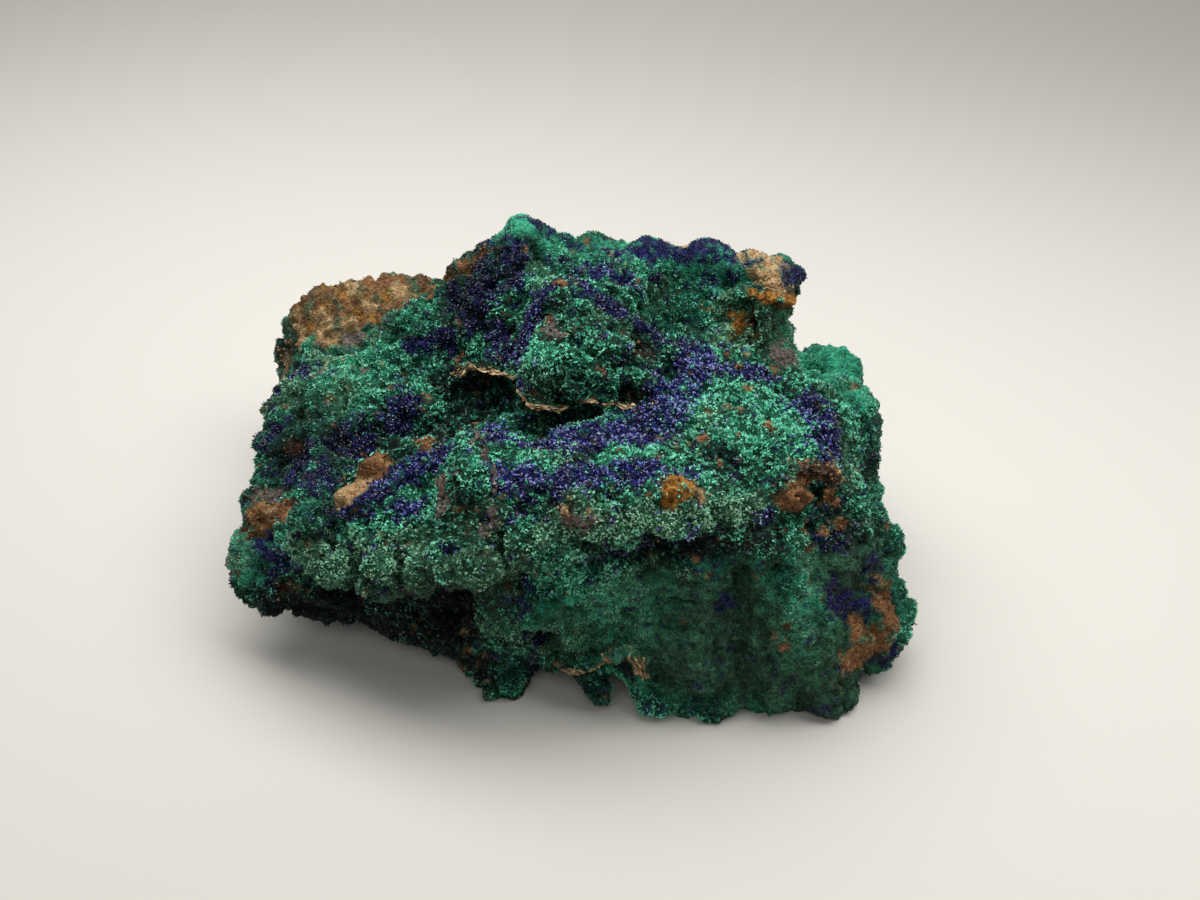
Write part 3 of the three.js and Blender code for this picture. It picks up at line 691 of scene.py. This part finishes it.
def minerals(points, normals):
    """The share of each mineral at each point, with the painted light and shade. The named places come
    first; beyond them azurite is strewn in patches and flecks, rock comes through on the back, and
    near-black painted shade lies on faces that look down."""
    back = smooth_step(8, 34, points[:, 1] - 0.55 * points[:, 2] + 8)
    under = smooth_step(0.15, 0.7, -normals[:, 2]) * smooth_step(62, 30, points[:, 2])
    left = smooth_step(-34, -50, points[:, 0]) * smooth_step(30, 20, points[:, 1])
    on_apron = np.clip(nearness(points, FOLDED), 0, 1)
    mottle = layered(points, (9, 4.5, 2.2), 141)
    bare = back * strewn(points, (30, 12, 4), 181, 0.06, 0.2)
    bright = present(points, "bright", 271, soft=0.4)
    share = {}
    share["tan"] = np.maximum(present(points, "tan", 251, ragged=0.5),
                              bare * strewn(points, (11, 4), 261, 0.2, 0.34))
    share["ochre"] = np.maximum(present(points, "ochre", 225, ragged=0.6),
                                back * strewn(points, (10, 4), 227, 0.28, 0.36))
    share["umber"] = np.maximum(present(points, "umber", 229),
                                bare * strewn(points, (9, 4), 230, 0.2, 0.35))
    fleck = noise(points, 2.6, 221) + 0.4 * noise(points, 9, 223) - 0.4 * on_apron - 0.5 * under
    share["rust"] = np.maximum(present(points, "rust", 201),
                               bare * strewn(points, (12, 5), 211, -0.1, 0.15))
    share["rust"] = np.maximum(share["rust"], 0.8 * smooth_step(0.66, 0.76, fleck))
    share["rust"] *= 1 - back * strewn(points, (8, 4, 2), 215, 0.14, 0.22)
    share["grey"] = np.maximum(present(points, "grey", 231),
                               bare * strewn(points, (15, 6), 241, 0.05, 0.25))
    # painted shade: near-black on faces that look down, low on the stone, and in the dark places
    share["dark"] = np.maximum(present(points, "dark", 265),
                               under * strewn(points, (20, 9, 3), 191, -0.3, 0.0))
    azurite = present(points, "azurite", 161)
    azurite = np.maximum(azurite, smooth_step(0.2, 0.3, mottle - 0.16 + 0.1 * left - 0.2 * bright))
    azurite = np.maximum(azurite, 0.9 * smooth_step(0.5, 0.62, noise(points, 2.2, 151) + 0.25 * mottle))
    azurite = np.maximum(azurite, back * strewn(points, (18, 7, 3), 171, 0.12, 0.22))
    share["azurite"] = azurite * (1 - 0.85 * smooth_step(0.2, 0.4, noise(points, 1.9, 155)))
    left_over = np.ones(len(points))
    for name, amount in share.items():
        share[name] = amount * left_over
        left_over = left_over * (1 - amount)
    share["green"] = left_over
    # painted shade: 'dim' darkens the green; 'bright' and the noise are partly its tone, partly painted
    # light
    bright = bright - 0.85 * present(points, "dim", 275, soft=0.4, ragged=0.4)
    bright = 0.42 + 0.5 * bright + 0.75 * layered(points, (14, 5, 2), 281)
    share["bright"] = np.clip(bright, 0, 1)
    share["lively"] = 0.72 + 0.28 * smooth_step(0.1, 0.4, nearness(points, CRISP))
    share["lively"] *= 1 - 0.62 * smooth_step(0, 0.3, nearness(points, SMOOTH))
    share["pale"] = np.maximum(0.9 * present(points, "pale", 291, soft=0.3),
                               0.6 * strewn(points, (16, 6, 2), 301, 0.15, 0.4))
    return share


# ---- Crystals ----------------------------------------------------------------------------------

# A grain: a three-sided spike. Its corners and its 4 faces.
GRAIN = (np.array([[0, 0, 1.0], [1, 0, -1], [-0.5, 0.866, -1], [-0.5, -0.866, -1]]),
         np.array([[0, 1, 2], [0, 2, 3], [0, 3, 1], [1, 3, 2]]))
# A blunt prism: four sides that meet in a point at each end. Its corners and its 8 faces.
BLOCK = (np.array([[1, 0, 0.55], [0, 1, 0.35], [-1, 0, 0.6], [0, -1, 0.4], [0.2, 0.1, 1.0],
                   [-0.1, 0, -1.0]]),
         np.array([[4, 0, 1], [4, 1, 2], [4, 2, 3], [4, 3, 0], [5, 1, 0], [5, 2, 1], [5, 3, 2], [5, 0, 3]]))
CLUMP = 1.6  # width of a clump of crystals
SUNK_SHARE = 0.35  # how much of a crystal's length is in the skin
PATH_STEPS = 400  # points along the path of a broken edge
SPAN = 12  # how many of them on each side are averaged where the path is laid on the skin
NEAR_PATH = 20  # only skin this near to the middle of the path is searched for it


def sown(weight, count, rng):
    """Places for count crystals on the skin, where they face, and the relief there: triangles are drawn
    by area times weight, and a point in each by two random shares folded into the triangle."""
    a, b, c = (skin[skin_triangles[:, n]] for n in range(3))
    area = np.linalg.norm(np.cross(b - a, c - a), axis=1)
    odds = np.cumsum(area * weight[skin_triangles].mean(1))
    picked = np.searchsorted(odds, rng.random(count) * odds[-1])
    s, t = rng.random((2, count, 1))
    s, t = np.where(s + t > 1, 1 - s, s), np.where(s + t > 1, 1 - t, t)
    shares = np.concatenate([1 - s - t, s, t], 1)
    corner = skin_triangles[picked]
    points = (skin[corner] * shares[:, :, None]).sum(1)
    facing = (skin_normals[corner] * shares[:, :, None]).sum(1)
    standing = (skin_relief[corner] * shares).sum(1)
    return points, facing / np.linalg.norm(facing, axis=1)[:, None], standing


def clumped(points):
    """How high each point is in its own little clump of crystals: 1 on top of the clump, 0 in the gaps
    between clumps. The clumps are knobs, stirred by noise."""
    return smooth_step(0.35, 0.95, knobs(stirred(points, 0.5, 1.3, 15), CLUMP, 601))


def copies(shape, centre, *axes):
    """A copy of a shape at each centre, with the shape's own X, Y and Z laid along three vectors: its
    corners, copy by copy, and its faces."""
    forms, faces = shape
    corners = centre[:, None]
    for n, axis in enumerate(axes):
        corners = corners + forms[None, :, n:n + 1] * axis[:, None]
    first = np.arange(len(centre))[:, None, None] * len(forms)
    return corners, (faces[None] + first).reshape(-1, 3)


def grown(points, facing, shape, lengths, widths, lean, sunk, rng):
    """One crystal at each point: the shape scaled by its length and widths, turned so that its long
    axis is the skin's normal plus a random lean, spun about that axis, and sunk by a share of its
    length. None goes below the ground."""
    count = len(points)
    long = facing + lean * rng.normal(size=(count, 3))
    long /= np.linalg.norm(long, axis=1)[:, None]
    side = np.cross(long, rng.normal(size=(count, 3)))
    side /= np.linalg.norm(side, axis=1)[:, None]
    third = np.cross(long, side)
    half = lengths[:, None] / 2
    centre = points + facing * half * (1 - 2 * sunk)
    corners, faces = copies(shape, centre, widths[:, 0:1] / 2 * side, widths[:, 1:2] / 2 * third,
                            half * long)
    corners[:, :, 2] += np.maximum(GROUND - corners[:, :, 2].min(1), 0)[:, None]
    return corners.reshape(-1, 3), faces


def crystal_piece(name, crystals, shade, tint, material):
    """A piece of many crystals, each with its own shade and tint, and with a map that lays each crystal
    at its tint and shade."""
    vertices, triangles = crystals
    per_crystal = len(vertices) // len(shade)
    mesh = mesh_from(name, vertices, triangles)
    keep(mesh, "shade", np.repeat(shade, per_crystal))
    keep(mesh, "tint", np.repeat(tint, per_crystal))
    corner = triangles.ravel()
    own = corner // per_crystal
    spread = 0.002 * np.stack([np.cos(corner % per_crystal * 2.4), np.sin(corner % per_crystal * 2.4)], -1)
    laid = np.stack([tint[own], shade[own]], -1) * 0.98 + 0.01 + spread
    mesh.uv_layers.new(name="OFBake").data.foreach_set("uv", laid.astype(np.float32).ravel())
    mesh.polygons.foreach_set("use_smooth", np.zeros(len(triangles), bool))
    mesh.materials.append(material)
    piece = placed(name, mesh)
    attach(piece, "root")


# ---- Materials ---------------------------------------------------------------------------------


def new_material(name):
    """A new material, its node tree and its shader."""
    material = bpy.data.materials.new(name)
    material.use_nodes = True
    return material, material.node_tree, material.node_tree.nodes["Principled BSDF"]


def add(tree, kind, **settings):
    """A new node with its settings."""
    node = tree.nodes.new(kind)
    for key, value in settings.items():
        setattr(node, key, value)
    return node


def link(tree, source, target):
    """Joins an output to an input."""
    tree.links.new(source, target)


def ramp(tree, source, stops):
    """A colour ramp fed by source, with (place, colour) stops."""
    node = add(tree, "ShaderNodeValToRGB")
    band = node.color_ramp
    while len(band.elements) < len(stops):
        band.elements.new(0.5)
    for element, (place, colour) in zip(band.elements, stops):
        element.position = place
        element.color = (*colour, 1)
    link(tree, source, node.inputs["Fac"])
    return node.outputs["Color"]


def fill(tree, socket, value):
    """A socket fed by another, or set to a number or a colour."""
    if isinstance(value, bpy.types.NodeSocket):
        link(tree, value, socket)
    else:
        socket.default_value = value if isinstance(value, float) else (*value, 1)


def blend_colour(tree, share, under, over):
    """over laid on under by share."""
    node = add(tree, "ShaderNodeMix", data_type="RGBA")
    fill(tree, node.inputs[0], share)
    fill(tree, node.inputs[6], under)
    fill(tree, node.inputs[7], over)
    return node.outputs[2]


def maths(tree, operation, *values):
    """The output of a sum on one to three values, which are outputs or numbers."""
    node = add(tree, "ShaderNodeMath", operation=operation)
    for socket, value in zip(node.inputs, values):
        fill(tree, socket, value)
    return node.outputs[0]


def attribute(tree, name):
    """A value kept on the mesh, by its name."""
    return add(tree, "ShaderNodeAttribute", attribute_name=name).outputs["Fac"]


def bumped(tree, shader, height, strength, depth):
    """The shader's faces roughened by a height, whose full range is depth, in metres."""
    bump = add(tree, "ShaderNodeBump")
    bump.inputs["Strength"].default_value = strength
    bump.inputs["Distance"].default_value = depth
    link(tree, height, bump.inputs["Height"])
    link(tree, bump.outputs["Normal"], shader.inputs["Normal"])


def speckle_group():
    """Fine crystalline speckle on object coordinates: Size in metres in; out come Shade, which is each
    grain's own random shade softened by noise, and Height, which is high in the middle of a grain."""
    group = bpy.data.node_groups.new("crystal speckle", "ShaderNodeTree")
    group.interface.new_socket("Size", in_out="INPUT", socket_type="NodeSocketFloat")
    group.interface.new_socket("Shade", in_out="OUTPUT", socket_type="NodeSocketFloat")
    group.interface.new_socket("Height", in_out="OUTPUT", socket_type="NodeSocketFloat")
    entry = group.nodes.new("NodeGroupInput")
    leave = group.nodes.new("NodeGroupOutput")
    place = add(group, "ShaderNodeTexCoord").outputs["Object"]
    per_metre = maths(group, "DIVIDE", 1.0, entry.outputs["Size"])
    cells = add(group, "ShaderNodeTexVoronoi", feature="F1")
    link(group, place, cells.inputs["Vector"])
    link(group, per_metre, cells.inputs["Scale"])
    cloud = add(group, "ShaderNodeTexNoise")
    cloud.inputs["Detail"].default_value = 3
    link(group, place, cloud.inputs["Vector"])
    link(group, maths(group, "MULTIPLY", per_metre, 0.35), cloud.inputs["Scale"])
    split = add(group, "ShaderNodeSeparateColor")
    link(group, cells.outputs["Color"], split.inputs[0])
    link(group, maths(group, "MULTIPLY_ADD", cloud.outputs["Fac"], 0.5,
                      maths(group, "MULTIPLY", split.outputs[0], 0.5)), leave.inputs["Shade"])
    link(group, maths(group, "SUBTRACT", 1.0, cells.outputs["Distance"]), leave.inputs["Height"])
    return group


def speckled(tree, group, size):
    """The speckle at one size, in metres: its shade and its height."""
    node = add(tree, "ShaderNodeGroup", node_tree=group)
    node.inputs["Size"].default_value = size
    return node.outputs["Shade"], node.outputs["Height"]


# Stops run from the darkest to the brightest shade of each mineral.
MALACHITE = [(0.05, (0.001, 0.008, 0.006)), (0.3, (0.006, 0.055, 0.034)), (0.55, (0.022, 0.215, 0.125)),
             (0.8, (0.055, 0.52, 0.31)), (1.0, (0.18, 0.88, 0.58))]
OLIVE = [(0.05, (0.008, 0.018, 0.009)), (0.4, (0.038, 0.11, 0.055)), (0.7, (0.125, 0.29, 0.155)),
         (1.0, (0.4, 0.62, 0.4))]
AZURITE = [(0.1, (0.001, 0.001, 0.009)), (0.45, (0.004, 0.006, 0.06)), (0.75, (0.016, 0.022, 0.2)),
           (0.92, (0.055, 0.075, 0.45)), (1.0, (0.25, 0.32, 0.75))]
VIOLET = [(0.1, (0.002, 0.001, 0.01)), (0.5, (0.013, 0.01, 0.08)), (0.9, (0.07, 0.06, 0.32)),
          (1.0, (0.3, 0.3, 0.6))]
RUST = [(0.1, (0.035, 0.015, 0.007)), (0.4, (0.15, 0.068, 0.028)), (0.7, (0.38, 0.19, 0.075)),
        (1.0, (0.66, 0.42, 0.2))]
OCHRE = [(0.1, (0.07, 0.028, 0.005)), (0.45, (0.3, 0.125, 0.02)), (0.75, (0.62, 0.3, 0.055)),
         (1.0, (0.8, 0.48, 0.16))]
UMBER = [(0.1, (0.006, 0.003, 0.002)), (0.5, (0.03, 0.015, 0.009)), (0.9, (0.12, 0.06, 0.035))]
GREY = [(0.1, (0.04, 0.032, 0.03)), (0.5, (0.16, 0.135, 0.12)), (0.9, (0.36, 0.31, 0.26))]
TAN = [(0.1, (0.14, 0.07, 0.026)), (0.5, (0.5, 0.32, 0.15)), (0.9, (0.86, 0.64, 0.38))]
# near-black, painted as shade into hollows, clefts and undersides; in places dark rock
DARK = [(0.1, (0.001, 0.002, 0.002)), (0.5, (0.004, 0.006, 0.006)), (0.9, (0.016, 0.026, 0.022))]
LAID_OVER = [("azurite", AZURITE), ("dark", DARK), ("grey", GREY), ("rust", RUST), ("umber", UMBER),
             ("ochre", OCHRE), ("tan", TAN)]  # the minerals, and the near-black painted shade 'dark', laid over the green, in this order


def stone_material(speckle):
    """The skin: malachite from dark to bright, paled where it is weathered, with each other mineral laid
    over it by its share. Under the grains it is painted dark, as shade for the gaps between them, most
    where the grains are large; its green also carries the painted light and shade of 'bright'."""
    material, tree, shader = new_material("drusy stone")
    fine, fine_height = speckled(tree, speckle, 0.0006)
    coarse, coarse_height = speckled(tree, speckle, 0.0019)
    grain = maths(tree, "MULTIPLY_ADD", fine, 0.6, maths(tree, "MULTIPLY", coarse, 0.4))
    # painted shade for the gaps between grains, deepest where the grains are large
    painted_gap_shade = maths(tree, "MULTIPLY_ADD", attribute(tree, "lively"), -0.34, -0.12)
    lit = maths(tree, "MULTIPLY_ADD", attribute(tree, "bright"), 0.35,
                maths(tree, "ADD", grain, painted_gap_shade))
    colour = blend_colour(tree, maths(tree, "MULTIPLY", attribute(tree, "pale"), 0.7),
                          ramp(tree, lit, MALACHITE),
                          ramp(tree, maths(tree, "SUBTRACT", grain, 0.15), OLIVE))
    for name, stops in LAID_OVER:
        colour = blend_colour(tree, attribute(tree, name), colour, ramp(tree, grain, stops))
    link(tree, colour, shader.inputs["Base Color"])
    dull = maths(tree, "MULTIPLY_ADD", grain, -0.25, 0.95)
    glossy_azurite = maths(tree, "MULTIPLY_ADD", attribute(tree, "azurite"), -0.35, dull)
    link(tree, glossy_azurite, shader.inputs["Roughness"])
    bumped(tree, shader, maths(tree, "ADD", fine_height, coarse_height), 0.9, 0.0005)
    shader.inputs["Specular IOR Level"].default_value = 0.25
    return material


def crust_material(speckle):
    """The broken edges of crusts: thin layers lying flat; tan at a tint of 0, grey at a half and brown
    at 1."""
    material, tree, shader = new_material("broken crust")
    flat = add(tree, "ShaderNodeMapping")
    flat.inputs["Scale"].default_value = (1, 1, 5)
    link(tree, add(tree, "ShaderNodeTexCoord").outputs["Object"], flat.inputs["Vector"])
    layers = add(tree, "ShaderNodeTexNoise")
    layers.inputs["Scale"].default_value = 700
    layers.inputs["Detail"].default_value = 4
    link(tree, flat.outputs["Vector"], layers.inputs["Vector"])
    fine, fine_height = speckled(tree, speckle, 0.0007)
    grain = maths(tree, "MULTIPLY_ADD", layers.outputs["Fac"], 0.5,
                  maths(tree, "MULTIPLY_ADD", fine, 0.3, -0.45))
    grain = maths(tree, "ADD", grain, attribute(tree, "shade"))
    tint = attribute(tree, "tint")
    to_grey = maths(tree, "MINIMUM", maths(tree, "MULTIPLY", tint, 2.0), 1.0)
    to_brown = maths(tree, "MAXIMUM", maths(tree, "MULTIPLY_ADD", tint, 2.0, -1.0), 0.0)
    pale = blend_colour(tree, to_grey, ramp(tree, grain, TAN), ramp(tree, grain, GREY))
    link(tree, blend_colour(tree, to_brown, pale, ramp(tree, grain, UMBER)), shader.inputs["Base Color"])
    link(tree, maths(tree, "MULTIPLY_ADD", grain, -0.2, 0.85), shader.inputs["Roughness"])
    bumped(tree, shader, maths(tree, "ADD", layers.outputs["Fac"], fine_height), 0.6, 0.0003)
    return material


def crystal_material(name, stops, other_stops, roughness, refraction, speckle):
    """Crystals whose shade runs along one ramp, or along another by their tint, with a faint grain on
    their faces."""
    material, tree, shader = new_material(name)
    shade = attribute(tree, "shade")
    tint = attribute(tree, "tint")
    link(tree, blend_colour(tree, tint, ramp(tree, shade, stops), ramp(tree, shade, other_stops)),
         shader.inputs["Base Color"])
    link(tree, maths(tree, "MULTIPLY_ADD", tint, 0.3, roughness), shader.inputs["Roughness"])
    bumped(tree, shader, speckled(tree, speckle, 0.00025)[1], 0.3, 0.0001)
    shader.inputs["IOR"].default_value = refraction
    return material


# ---- The specimen ------------------------------------------------------------------------------

rng = np.random.default_rng(20)
skin, skin_triangles, skin_relief = stone_skin()
skin_normals = normals_of(skin, skin_triangles)
skin_minerals = minerals(skin, skin_normals)
speckle = speckle_group()


def stone_piece():
    """The stone itself, in the place of the CAD solid, with the share of each mineral kept at its
    vertices."""
    mesh = mesh_from("stone", skin, skin_triangles)
    for label, values in skin_minerals.items():
        keep(mesh, label, values)
    mesh.polygons.foreach_set("use_smooth", np.ones(len(skin_triangles), bool))
    mesh.materials.append(stone_material(speckle))
    stone = placed("stone", mesh)
    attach(stone, "root")
    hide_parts("specimen")


def weight_of(*names):
    """How thickly crystals grow at each vertex of the skin: the sum of the minerals' shares, thinner on
    faces that look down and none where the stone rests."""
    amount = sum(skin_minerals[name] for name in names)
    down = 1 - 0.5 * smooth_step(0.2, 0.9, -skin_normals[:, 2])
    return amount * down * smooth_step(RESTING, 2.0, skin[:, 2])


def sow(name, count, pieces, weight, shape, lengths, widths, lean, look, material):
    """Crystals sown in equal pieces by weight, with lengths and widths from two ranges, standing higher
    on top of their clumps. look gives their shade and tint from the minerals at their places and from
    how they stand: the relief of the skin and the clump, which paint light on swellings and clump tops
    and shade in crevices and between clumps."""
    for n in range(pieces):
        points, facing, standing = sown(weight, count // pieces, rng)
        clump = clumped(points)
        here = minerals(points, facing)
        full = 0.35 + 0.65 * here["lively"]
        long = rng.uniform(*lengths, len(points)) * full
        wide = rng.uniform(*widths, (len(points), 2)) * full[:, None]
        raised = points + facing * (full * (0.55 * clump - 0.3))[:, None]
        crystals = grown(raised, facing, shape, long, wide, lean * full[:, None], SUNK_SHARE, rng)
        # standing and clump give painted light on swellings and clump tops, painted shade in crevices and
        # gaps
        shade, tint = look(here, np.clip(standing / 3, -1, 1), clump - 0.5, len(points))
        label = f"{name}_{n + 1}" if pieces > 1 else name
        crystal_piece(label, crystals, np.clip(shade, 0, 1), np.clip(tint, 0, 1), material)


def malachite_look(here, standing, clump, count):
    """Grains are brighter where the crust is, on top of swellings and of clumps, and paler where it is
    pale; darker in crevices, in the gaps between clumps and where 'dark' lies. The light on swellings
    and clump tops and the dark in crevices, gaps and 'dark' places are painted light and shade."""
    # painted shade in the gaps between clumps and painted light on their tops, with random tone
    clump_shade_and_tone = here["lively"] * (0.6 * clump + 0.17 * rng.normal(size=count))
    # painted light and shade from the relief and the clumps, and near-black painted shade where 'dark' lies
    shade = 0.2 + 0.72 * here["bright"] + 0.32 * standing + clump_shade_and_tone
    return shade - 0.32 * here["dark"], 0.7 * here["pale"] + 0.25 * rng.random(count)


def azurite_look(here, standing, clump, count):
    """Prisms are darkest where they are fine or where 'dim' paints shade on the crust, and a few of them
    are violet. They are lighter on swellings and clump tops and darker in crevices and gaps, as painted
    light and shade.
    """
    # painted shade in the gaps between clumps and painted light on their tops, with random tone
    clump_shade_and_tone = here["lively"] * (0.5 * clump + 0.3 * rng.normal(size=count))
    shade = -0.33 + 0.5 * here["bright"] + 0.5 * here["lively"] + 0.15 * standing + clump_shade_and_tone
    return shade, 0.8 * rng.random(count) ** 2


def rust_look(here, standing, clump, count):
    """Rusty crumbs turn ochre with the share of ochre at their place. They are lighter on swellings and
    clump tops and darker in crevices and gaps: painted light and shade.
    """
    shade = 0.42 + 0.15 * standing + 0.2 * clump + 0.2 * rng.normal(size=count)
    return shade, here["ochre"] * 1.2 + 0.2 * rng.random(count)


def rock_look(here, standing, clump, count):
    """Rock crumbs turn from tan to grey with the share of grey at their place. They are lighter on
    swellings and clump tops and darker in crevices and gaps: painted light and shade.
    """
    shade = 0.5 + 0.12 * standing + 0.2 * clump + 0.2 * rng.normal(size=count)
    return shade, here["grey"] * 1.3 + 0.1 * rng.random(count)


def laid_on_skin(path):
    """The path brought onto the skin: each point goes to the nearest vertex, and then to the mean of
    the points up to SPAN before and after it."""
    near = skin[np.linalg.norm(skin - path.mean(0), axis=1) < NEAR_PATH]
    path = near[((path[:, None] - near[None]) ** 2).sum(-1).argmin(1)]
    shares = np.ones(2 * SPAN + 1) / (2 * SPAN + 1)
    return np.stack([np.convolve(np.pad(path[:, n], SPAN, "edge"), shares, "valid") for n in range(3)], -1)


def splinters(points, reach, shift, drop, count, on_skin, rng):
    """Flat splinters strewn along a broken edge: long the way the edge runs, wide across it and thin up
    and down. Each has its own size, its own small turn, and its own place in the thickness of the
    crust, which lies from the path down to drop below it, or up from the path where drop is less than
    0. They crowd and thin out along the edge, as noise says. on_skin lays the path on the skin first.
    It gives the splinters and, from 0 to 1, how near each lies to the path's height."""
    path = curve_through(points, PATH_STEPS)
    path = path + np.stack([noise(path, 2.6, 431 + n) for n in range(3)], -1) * np.array([0.6, 1.1, 0.4])
    forward = np.gradient(path, axis=0)
    if on_skin:
        path = laid_on_skin(path)
    crowd = np.clip(0.55 + 1.1 * noise(path, 3.4, 440) + 0.5 * noise(path, 1.3, 441), 0.03, 1.2)
    crowd *= np.sin(math.pi * np.linspace(0.02, 0.98, PATH_STEPS)) ** 0.5
    odds = np.cumsum(crowd)
    row = np.searchsorted(odds, rng.random(count) * odds[-1])
    deep = rng.random(count)
    long = forward[row] / np.linalg.norm(forward[row], axis=1)[:, None] + 0.24 * rng.normal(size=(count, 3))
    long /= np.linalg.norm(long, axis=1)[:, None]
    across = np.cross(long, [0, 0, 1.0] + 0.22 * rng.normal(size=(count, 3)))
    across /= np.linalg.norm(across, axis=1)[:, None]
    up = np.cross(across, long)
    out = shift + (1.5 * crowd[row] * rng.random(count) - 0.9 * deep - 0.2) * reach
    centre = path[row] + out[:, None] * across + (0.1 - drop * deep)[:, None] * np.array([0, 0, 1.0])
    size = 0.5 + 0.5 * np.clip(crowd[row], 0, 1)
    half_long = (size * rng.uniform(0.5, 1.7, count))[:, None]
    half_wide = (size * rng.uniform(0.2, 0.8, count))[:, None]
    half_thick = rng.uniform(0.05, 0.13, count)[:, None]
    corners, faces = copies(BLOCK, centre, half_wide * across, half_thick * up, half_long * long)
    return corners.reshape(-1, 3), faces, 1 - deep


def crust_edges():
    """The bare broken edges of the crusts: splinters along each rim that is left broken, paler near the
    height of its path. On a rim, whose splinters hang below the path, that paints the upper splinters
    lighter and the lower ones darker: painted light and shade. A seam's spread less, and stand up out of
    the skin."""
    shells, shades, tints = [], [], []
    for points, reach, _, made_of in RIMS.values():
        if made_of in BROKEN:
            length = np.linalg.norm(np.diff(np.array(points), axis=0), axis=1).sum()
            count = int(length * (6 + 5 * reach))  # splinters
            if made_of == SEAM:
                vertices, triangles, top = splinters(points, 0.4, 0.0, -1.5, count, True, rng)
            else:
                vertices, triangles, top = splinters(points, 1.0, 0.6 * reach, 0.7, count, False, rng)
            shells.append((vertices, triangles))
            # painted light and shade: splinters near the path's height are paler; on a rim these are the
            # upper ones
            shades.append(np.clip(0.2 + 0.55 * top + 0.22 * rng.normal(size=count), 0, 1))
            tints.append(np.clip(BROKEN[made_of] + 0.12 * rng.normal(size=count), 0, 1))
    crystal_piece("crust_edges", together(shells), np.concatenate(shades), np.concatenate(tints),
                  crust_material(speckle))


stone_piece()
crust_edges()
bare_lumps = np.max([on_lumps(skin, mineral) for mineral in ("rust", "tan", "ochre")], axis=0)
plain_rock = 1 - 0.85 * bare_lumps  # few crystals grow on the lumps of bare rock
green = (weight_of("green") + 0.5 * weight_of("dark")) * plain_rock
sow("malachite_grains", 172000, 4, green, GRAIN, (0.65, 1.1), (0.4, 0.8), 0.6, malachite_look,
    crystal_material("malachite grains", MALACHITE, OLIVE, 0.4, 1.65, speckle))
sow("azurite_prisms", 30000, 2, weight_of("azurite"), BLOCK, (0.7, 1.4), (0.35, 0.85), 0.7, azurite_look,
    crystal_material("azurite prisms", AZURITE, VIOLET, 0.12, 1.75, speckle))
rusty = weight_of("rust", "ochre", "umber") * plain_rock
sow("rust_crumbs", 3400, 1, rusty, BLOCK, (0.4, 1.1), (0.5, 1.2), 0.9, rust_look,
    crystal_material("rusty crumbs", RUST, OCHRE, 0.65, 1.5, speckle))
rocky = weight_of("tan", "grey") * plain_rock
sow("rock_crumbs", 2000, 1, rocky, BLOCK, (0.4, 1.0), (0.5, 1.2), 0.9, rock_look,
    crystal_material("rock crumbs", TAN, GREY, 0.65, 1.5, speckle))


# ---- Floor, light and camera -------------------------------------------------------------------


def studio_floor():
    """A flat pale sheet, wide enough to fill every view."""
    half = 3.0  # metres
    mesh = bpy.data.meshes.new("floor")
    corners = [(-half, -half, 0), (half, -half, 0), (half, half, 0), (-half, half, 0)]
    mesh.from_pydata(corners, [], [(0, 1, 2, 3)])
    material, _, shader = new_material("pale paper")
    shader.inputs["Base Color"].default_value = (0.84, 0.81, 0.75, 1)
    shader.inputs["Roughness"].default_value = 0.8
    mesh.materials.append(material)
    placed("floor", mesh)


def soft_light(name, place, size, watts, target=(0, 0, 0.03)):
    """A rectangular lamp at a place, facing the target."""
    lamp = bpy.data.lights.new(name, "AREA")
    lamp.shape = "RECTANGLE"
    lamp.size, lamp.size_y = size
    lamp.energy = watts
    lamp.color = (1, 0.99, 0.97)
    holder = placed(name, lamp)
    holder.location = place
    holder.rotation_euler = (Vector(place) - Vector(target)).to_track_quat("Z", "Y").to_euler()


def studio():
    """The floor, two softboxes over the stone, one over the floor behind it, and a faint even light."""
    studio_floor()
    soft_light("overhead softbox", (0.03, 0.07, 0.46), (0.9, 0.26), 2.95)
    soft_light("front softbox", (-0.1, -0.5, 0.75), (0.9, 0.4), 0.8)
    soft_light("background softbox", (0, 0.75, 0.6), (1.6, 0.3), 2.1, (0, 0.75, 0))
    world = bpy.data.worlds.new("room")
    world.use_nodes = True
    world.node_tree.nodes["Background"].inputs["Color"].default_value = (0.95, 0.96, 1, 1)
    world.node_tree.nodes["Background"].inputs["Strength"].default_value = 0.11
    bpy.context.scene.world = world
    bpy.context.scene.view_settings.view_transform = "Standard"


def camera():
    """Above and in front of the shelf, looking 38 degrees down over the stone."""
    lens = bpy.data.cameras.new("camera")
    lens.lens = 32
    lens.sensor_width = 36
    lens.clip_start = 0.01
    holder = placed("camera", lens)
    holder.location = (0.0089, -0.2292, 0.2144)
    holder.rotation_euler = (math.radians(90 - 38), 0, 0)
    bpy.context.scene.camera = holder


studio()
camera()
